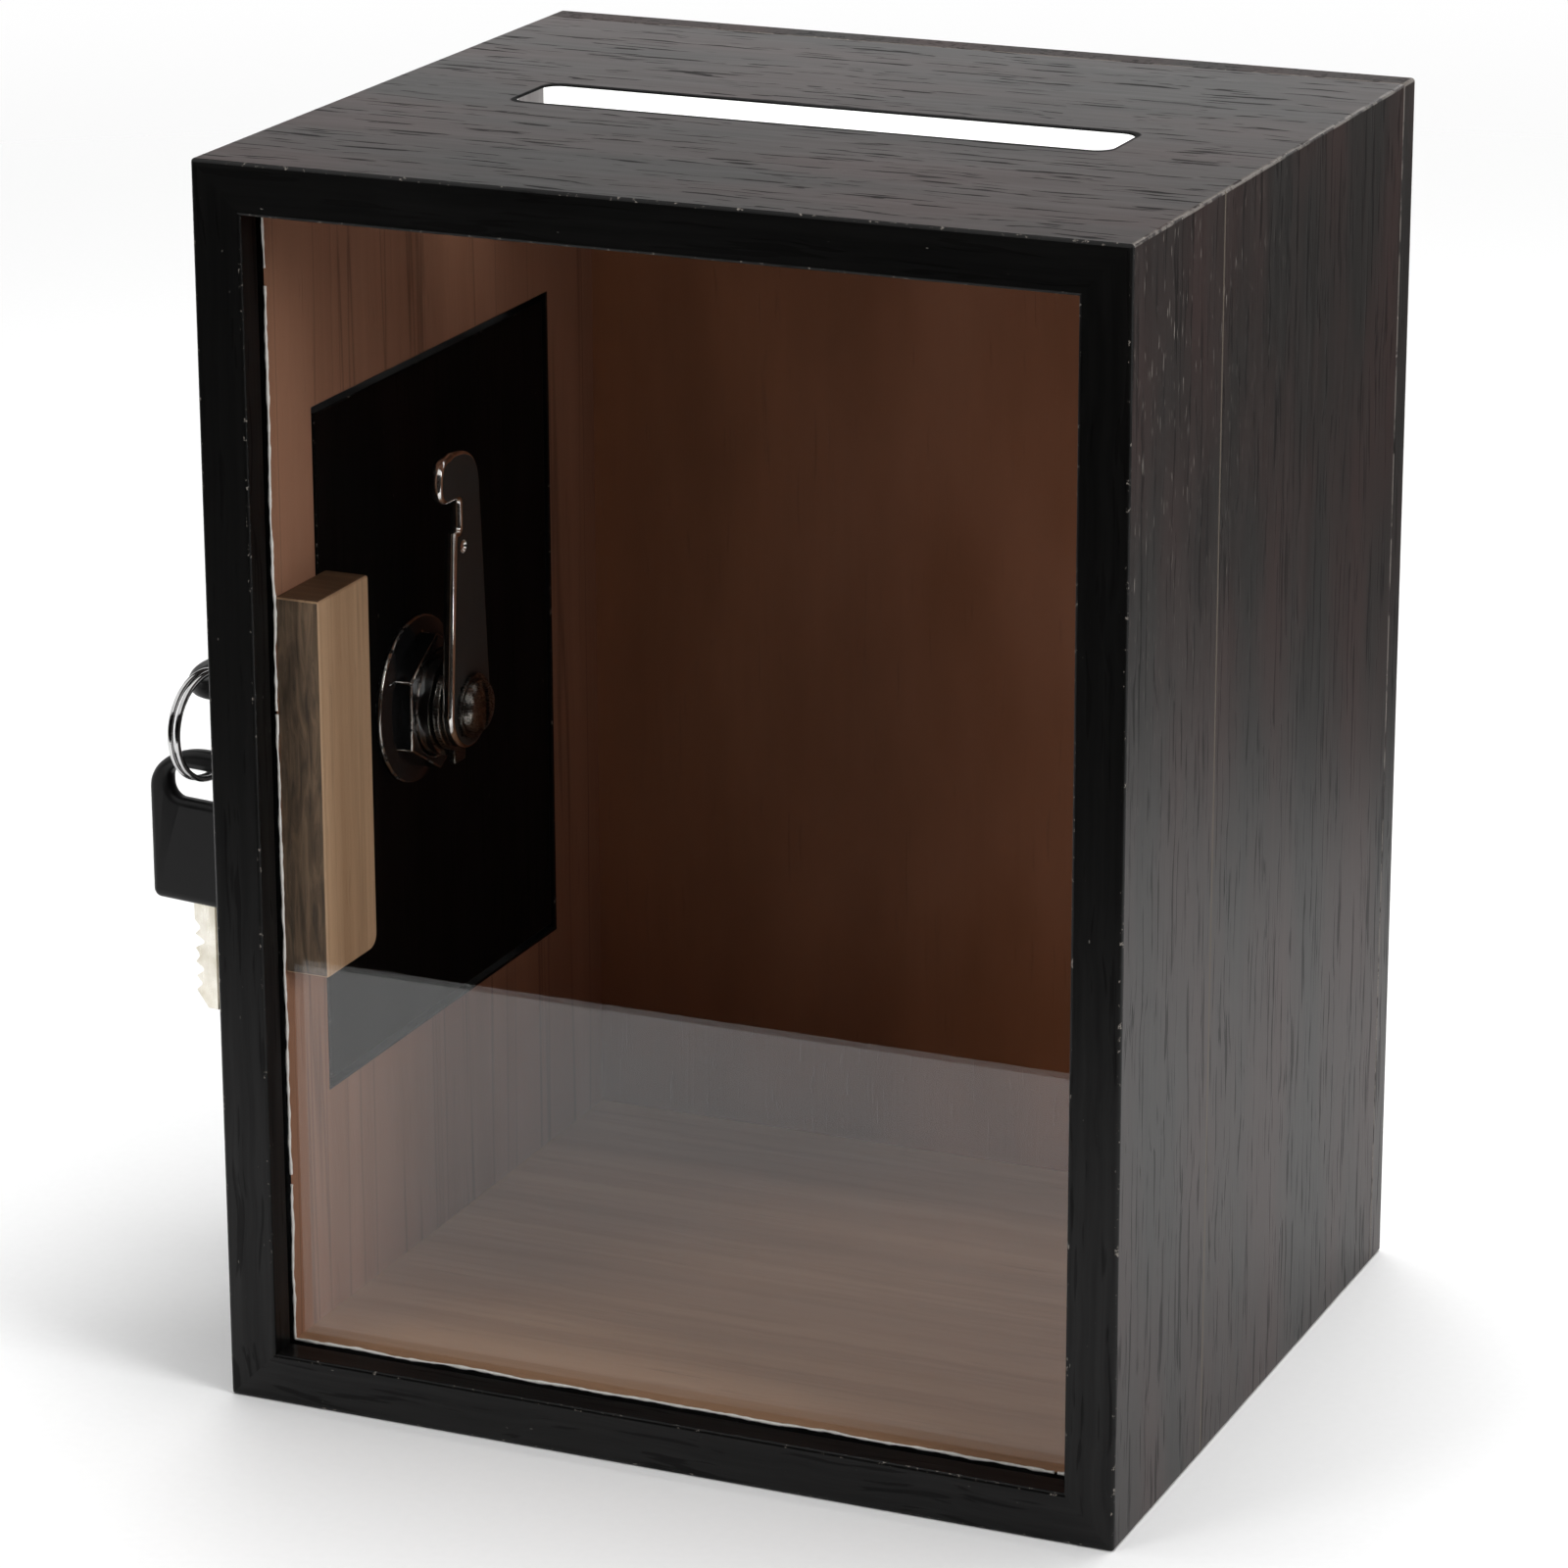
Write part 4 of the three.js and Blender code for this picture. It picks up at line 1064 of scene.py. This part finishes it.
def cam_screw():
    """A domed slotted screw head over a plain shank."""
    low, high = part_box("cam_screw")
    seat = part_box("cam_washer")[1].x
    rise = high.x - seat
    profile = [(low.x, 0.0), (low.x, CAM_SCREW_SHANK_RADIUS), (seat, CAM_SCREW_SHANK_RADIUS),
               (seat, CAM_SCREW_HEAD_RADIUS)]
    for angle in CAM_SCREW_DOME:
        radius = CAM_SCREW_HEAD_RADIUS * math.cos(angle) ** CAM_SCREW_DOME_POWER
        profile.append((seat + rise * math.sin(angle), radius))
    bm = turned(profile + [(high.x, 0.0)], lock_axis)
    reach = Vector((CAM_SCREW_SLOT_DEPTH, CAM_SCREW_SLOT / 2, 2 * CAM_SCREW_HEAD_RADIUS))
    centre = Vector((high.x, lock_axis.y, lock_axis.z))
    return cut(bm, box_mesh(centre - reach, centre + reach))


fitting(housing(), "lock_barrel", [bright_plate], "lock_housing")
fitting(cam(), "hooked_cam", [cam_dark, rim_plate], "lock_cam")
fitting(cam_screw(), "cam_screw_head", [screw_plate], "cam_screw")
for node, name, width, material in (
    ("lock_nut", "barrel_nut", NUT_EDGE, nut_enamel),
    ("lock_plug", "lock_core_plug", SHEET_EDGE / 2, bright_plate),
    ("stop_washer", "stop_plate", SHEET_EDGE, screw_plate),
    ("cam_washer", "cam_ring", SHEET_EDGE / 2, screw_plate),
):
    piece = cad_copy(node)
    soften(piece, width, convex, least=ROUND_SIDE, clamped=False)
    fitting(piece, name, [material], node)


# Keys

HEAD_WIDTH = 24 * MM
HEAD_LENGTH = 28 * MM
HEAD_ARCH = 8 * MM
HEAD_CORNER = 1.6 * MM
HEAD_THICKNESS = 3.2 * MM
HEAD_EDGE = 1.25 * MM
HEAD_SIDE_RIM = 4.2 * MM
HEAD_TOP_RIM = 3.6 * MM
HOLE_HEIGHT = 5.6 * MM
HOLE_CORNER = 2.4 * MM
RING_TURN = math.radians(8)
BITTING_ROUND = 0.2 * MM
BLADE_ARRIS = 0.12 * MM
GROOVE_WIDTH = 1.7 * MM
GROOVE_DEPTH = 0.45 * MM
GROOVE_ASIDE = 0.4 * MM
GROOVE_SHIFT = 0.5 * MM  # to one side on one face, and to the other on the other
GROOVE_END = 6 * MM
GROOVE_ROUND = 0.2 * MM


def head_outlines():
    """The head's outline and its hole's, flat: X across the head, Y from its shoulder to its arch."""
    half = HEAD_WIDTH / 2
    shoulder = HEAD_LENGTH - HEAD_ARCH
    arch = [(half * x, shoulder + HEAD_ARCH * y) for x, y in arc(0, 0, 1, 0, 180, 40)]
    outer = arc(-half + HEAD_CORNER, HEAD_CORNER, HEAD_CORNER, 180, 270, 8)
    outer += arc(half - HEAD_CORNER, HEAD_CORNER, HEAD_CORNER, 270, 360, 8) + arch
    x = half - HEAD_SIDE_RIM - HOLE_CORNER
    top = HEAD_LENGTH - HEAD_TOP_RIM
    y0, y1 = top - HOLE_HEIGHT + HOLE_CORNER, top - HOLE_CORNER
    hole = arc(x, y1, HOLE_CORNER, 90, 0, 8) + arc(x, y0, HOLE_CORNER, 0, -90, 8)
    hole += arc(-x, y0, HOLE_CORNER, 270, 180, 8) + arc(-x, y1, HOLE_CORNER, 180, 90, 8)
    return [outer, hole]


def plate(outlines, thickness, edge):
    """A flat solid between closed outlines, with rounded edges."""
    curve = bpy.data.curves.new("plate", "CURVE")
    curve.dimensions = "2D"
    curve.fill_mode = "BOTH"
    curve.extrude = thickness / 2 - edge
    curve.bevel_depth = edge
    curve.bevel_resolution = 4
    curve.offset = -edge
    for points in outlines:
        spline = curve.splines.new("POLY")
        spline.points.add(len(points) - 1)
        spline.use_cyclic_u = True
        for point, (x, y) in zip(spline.points, points):
            point.co = (x, y, 0.0, 1.0)
    bm = bmesh.new()
    bm.from_mesh(evaluated(linked("plate", curve)))
    bmesh.ops.remove_doubles(bm, verts=bm.verts, dist=WELD)
    bmesh.ops.recalc_face_normals(bm, faces=bm.faces)
    return bm


def moved(bm, matrix):
    bmesh.ops.transform(bm, matrix=matrix, verts=bm.verts)
    return bm


def key_places():
    """Where the flat drawing of a key goes for the key in the lock and for the spare key."""
    start = Matrix.Translation((0.0, -HEAD_LENGTH / 2, 0.0))
    level = Matrix.Rotation(math.pi / 2, 4, "Z")
    hanging = Matrix.Rotation(-RING_TURN, 4, "Z") @ Matrix.Rotation(math.pi / 2, 4, "X")
    return {
        "key": Matrix.Translation(middle("key_head")) @ level @ start,
        "spare_key": Matrix.Translation(middle("spare_key_head")) @ hanging @ start,
    }


def bitting_corner(edge):
    """Whether an edge runs through a flat blade, outside the head."""
    first = edge.verts[0].co
    return not on(edge, 2, first.z) and first.y < -MM


def blade(place_of_key):
    """A key's blade, flat: the frame's own outline, with a milled groove in each face."""
    bm = moved(cad_copy("key_blade"), place_of_key.inverted())
    bm.normal_update()
    soften(bm, BITTING_ROUND, bitting_corner, 4, least=BITTING_STEP)
    soften(bm, BLADE_ARRIS, segments=1, least=SQUARE)
    face = max(v.co.z for v in bm.verts)
    tip = min(v.co.y for v in bm.verts)
    for side in (-1, 1):
        start = GROOVE_ASIDE + side * GROOVE_SHIFT
        bottom, top = sorted((side * (face - GROOVE_DEPTH), side * (face + MM)))
        low = Vector((start, tip - MM, bottom))
        high = Vector((start + GROOVE_WIDTH, GROOVE_END, top))
        bm = cut(bm, box_mesh(low, high, GROOVE_ROUND, 2))
    return bm


for key, where in key_places().items():
    head = moved(plate(head_outlines(), HEAD_THICKNESS, HEAD_EDGE), where)
    fitting(head, f"{key}_grip", [head_plastic], f"{key}_head")
    shaft = moved(blade(key_places()["key"]), where)
    fitting(shaft, f"{key}_shaft", [blade_plate], f"{key}_blade")


# Split ring

RING_DIAMETER = 19.6 * MM
RING_WIRE = 1.05 * MM
RING_SIDES = 16
RING_PITCH = 1.45 * MM
RING_CRANK_AT = math.radians(-10)
RING_CRANK = math.radians(25)
RING_STEPS = 120


def wire_tree():
    """A round wire with closed ends along the path that comes in."""
    tree, enter, leave = geometry_group("Wire on a path", Float=["Diameter"], Int=["Sides"])
    path, diameter, sides, material = enter
    curve = geo("MeshToCurve", {"Mesh": path})
    end_tree(leave, wire_along(curve, sides, times(diameter, 0.5)), material)
    return tree


def ring_path():
    """Two turns of wire side by side, with a crank between them."""
    radius = (RING_DIAMETER - RING_WIRE) / 2
    points = []
    for i in range(2 * RING_STEPS + 1):
        turn = RING_CRANK + (4 * math.pi - 2 * RING_CRANK) * i / (2 * RING_STEPS)
        share = min(1.0, max(0.0, (turn - 2 * math.pi + RING_CRANK) / (2 * RING_CRANK)))
        step = share * share * (3 - 2 * share)
        angle = RING_CRANK_AT + turn
        points.append(((step - 0.5) * RING_PITCH, radius * math.cos(angle), radius * math.sin(angle)))
    return points


ring_place = Matrix.Translation(middle("key_ring")) @ Matrix.Rotation(-RING_TURN, 4, "Z")
ring_points = [ring_place @ Vector(point) for point in ring_path()]
ring_mesh = grown(wire_tree(), path_mesh(ring_points), {
    "Diameter": RING_WIRE, "Sides": RING_SIDES, "Material": bright_plate,
})
fitting(ring_mesh, "split_ring", [bright_plate], "key_ring")


# Floor, cards, lamps and camera

FLOOR_REACH = 2.0
FLOOR_FADE = (0.45, 1.3)  # where the floor starts to fade into the white studio, and where it is gone
FILL = 0.12
CARDS = {  # left, right, depth, foot and top
    "window_card": (-0.9, 0.9, -0.249, 0.0, 0.24),  # its foot shows as a line across the window
    "side_card": (0.1, 0.7, 0.3, 0.0, 0.2),
    "top_card": (-0.9, 0.1, 0.42, 0.32, 1.0),
}
LAMPS = {  # place, size and power in watts
    "top_softbox": ((0.0, 0.3, 1.7), 1.2, 32.0),
    "right_softbox": ((1.75, -0.38, 0.8), 0.8, 22.0),
    "left_softbox": ((-0.85, -1.25, 0.5), 0.6, 7.5),
}
LAMP_TARGET = Vector((0.0, 0.0, 0.1))
CAMERA_AT = (0.3728, -0.8727, 0.4055)
CAMERA_AZIMUTH = math.radians(23.513)
CAMERA_ELEVATION = math.radians(18.013)
CAMERA_ROLL = math.radians(-0.168)
CAMERA_SENSOR = 36.0
CAMERA_LENS = 137.19


def sheet(name, corners, material):
    mesh = bpy.data.meshes.new(name)
    mesh.from_pydata(corners, [], [tuple(range(len(corners)))])
    mesh.materials.append(material)
    obj = linked(name, mesh)
    return obj


def fade_out(material):
    """Lets the studio's white show through the floor far from the object."""
    tree = material.node_tree
    shader = tree.nodes["Principled BSDF"]
    away = add(tree, "ShaderNodeVectorMath", {0: place(shader)}, operation="LENGTH").outputs["Value"]
    gone = spread(away, *FLOOR_FADE)
    gone.interpolation_type = "SMOOTHSTEP"
    see_through(shader, gone)


def card(name, left, right, y, foot, top):
    """A dark card that is seen only in shiny surfaces, as a flag beside the camera is."""
    corners = [(left, y, foot), (right, y, foot), (right, y, top), (left, y, top)]
    obj = sheet(name, corners, dark_paper)
    obj.visible_camera = False
    obj.visible_diffuse = False
    obj.visible_shadow = False


def lamp(name, location, size, power):
    light = bpy.data.lights.new(name, "AREA")
    light.size = size
    light.energy = power
    obj = linked(name, light)
    obj.location = location
    obj.rotation_euler = (LAMP_TARGET - Vector(location)).to_track_quat("-Z", "Y").to_euler()
    obj.visible_glossy = False


def studio_world():
    """White to the eye and in shiny surfaces, and a softer fill on the rest."""
    world = bpy.data.worlds.new("studio")
    world.use_nodes = True
    tree = world.node_tree
    path = add(tree, "ShaderNodeLightPath").outputs
    seen = calc("MAXIMUM", path["Is Camera Ray"], path["Is Glossy Ray"])
    seen = calc("MAXIMUM", seen, path["Is Transmission Ray"])
    strength = spread(seen, 0.0, 1.0, FILL, 1.0)
    feed(tree.nodes["Background"], Color=(1.0, 1.0, 1.0), Strength=strength)
    scene.world = world


def photo_camera():
    data = bpy.data.cameras.new("camera")
    data.sensor_width = CAMERA_SENSOR
    data.lens = CAMERA_LENS
    camera = linked("camera", data)
    turn = Matrix.Rotation(CAMERA_AZIMUTH, 4, "Z") @ Matrix.Rotation(math.pi / 2 - CAMERA_ELEVATION, 4, "X")
    camera.matrix_world = Matrix.Translation(CAMERA_AT) @ turn @ Matrix.Rotation(CAMERA_ROLL, 4, "Z")
    scene.camera = camera


white_paper = coated("white_paper", WHITE_PAPER, (0.8, 0.95), FIBRES, Specular_IOR_Level=0.0)
fade_out(white_paper)
dark_paper = coated("dark_paper", DARK_PAPER, (0.8, 0.95), FIBRES, Specular_IOR_Level=0.0)
floor_corners = [(FLOOR_REACH * x, FLOOR_REACH * y, 0) for x, y in ((-1, -1), (1, -1), (1, 1), (-1, 1))]
sheet("floor", floor_corners, white_paper)
for name, settings in CARDS.items():
    card(name, *settings)
for name, settings in LAMPS.items():
    lamp(name, *settings)
studio_world()
photo_camera()
scene.view_settings.view_transform = "Standard"
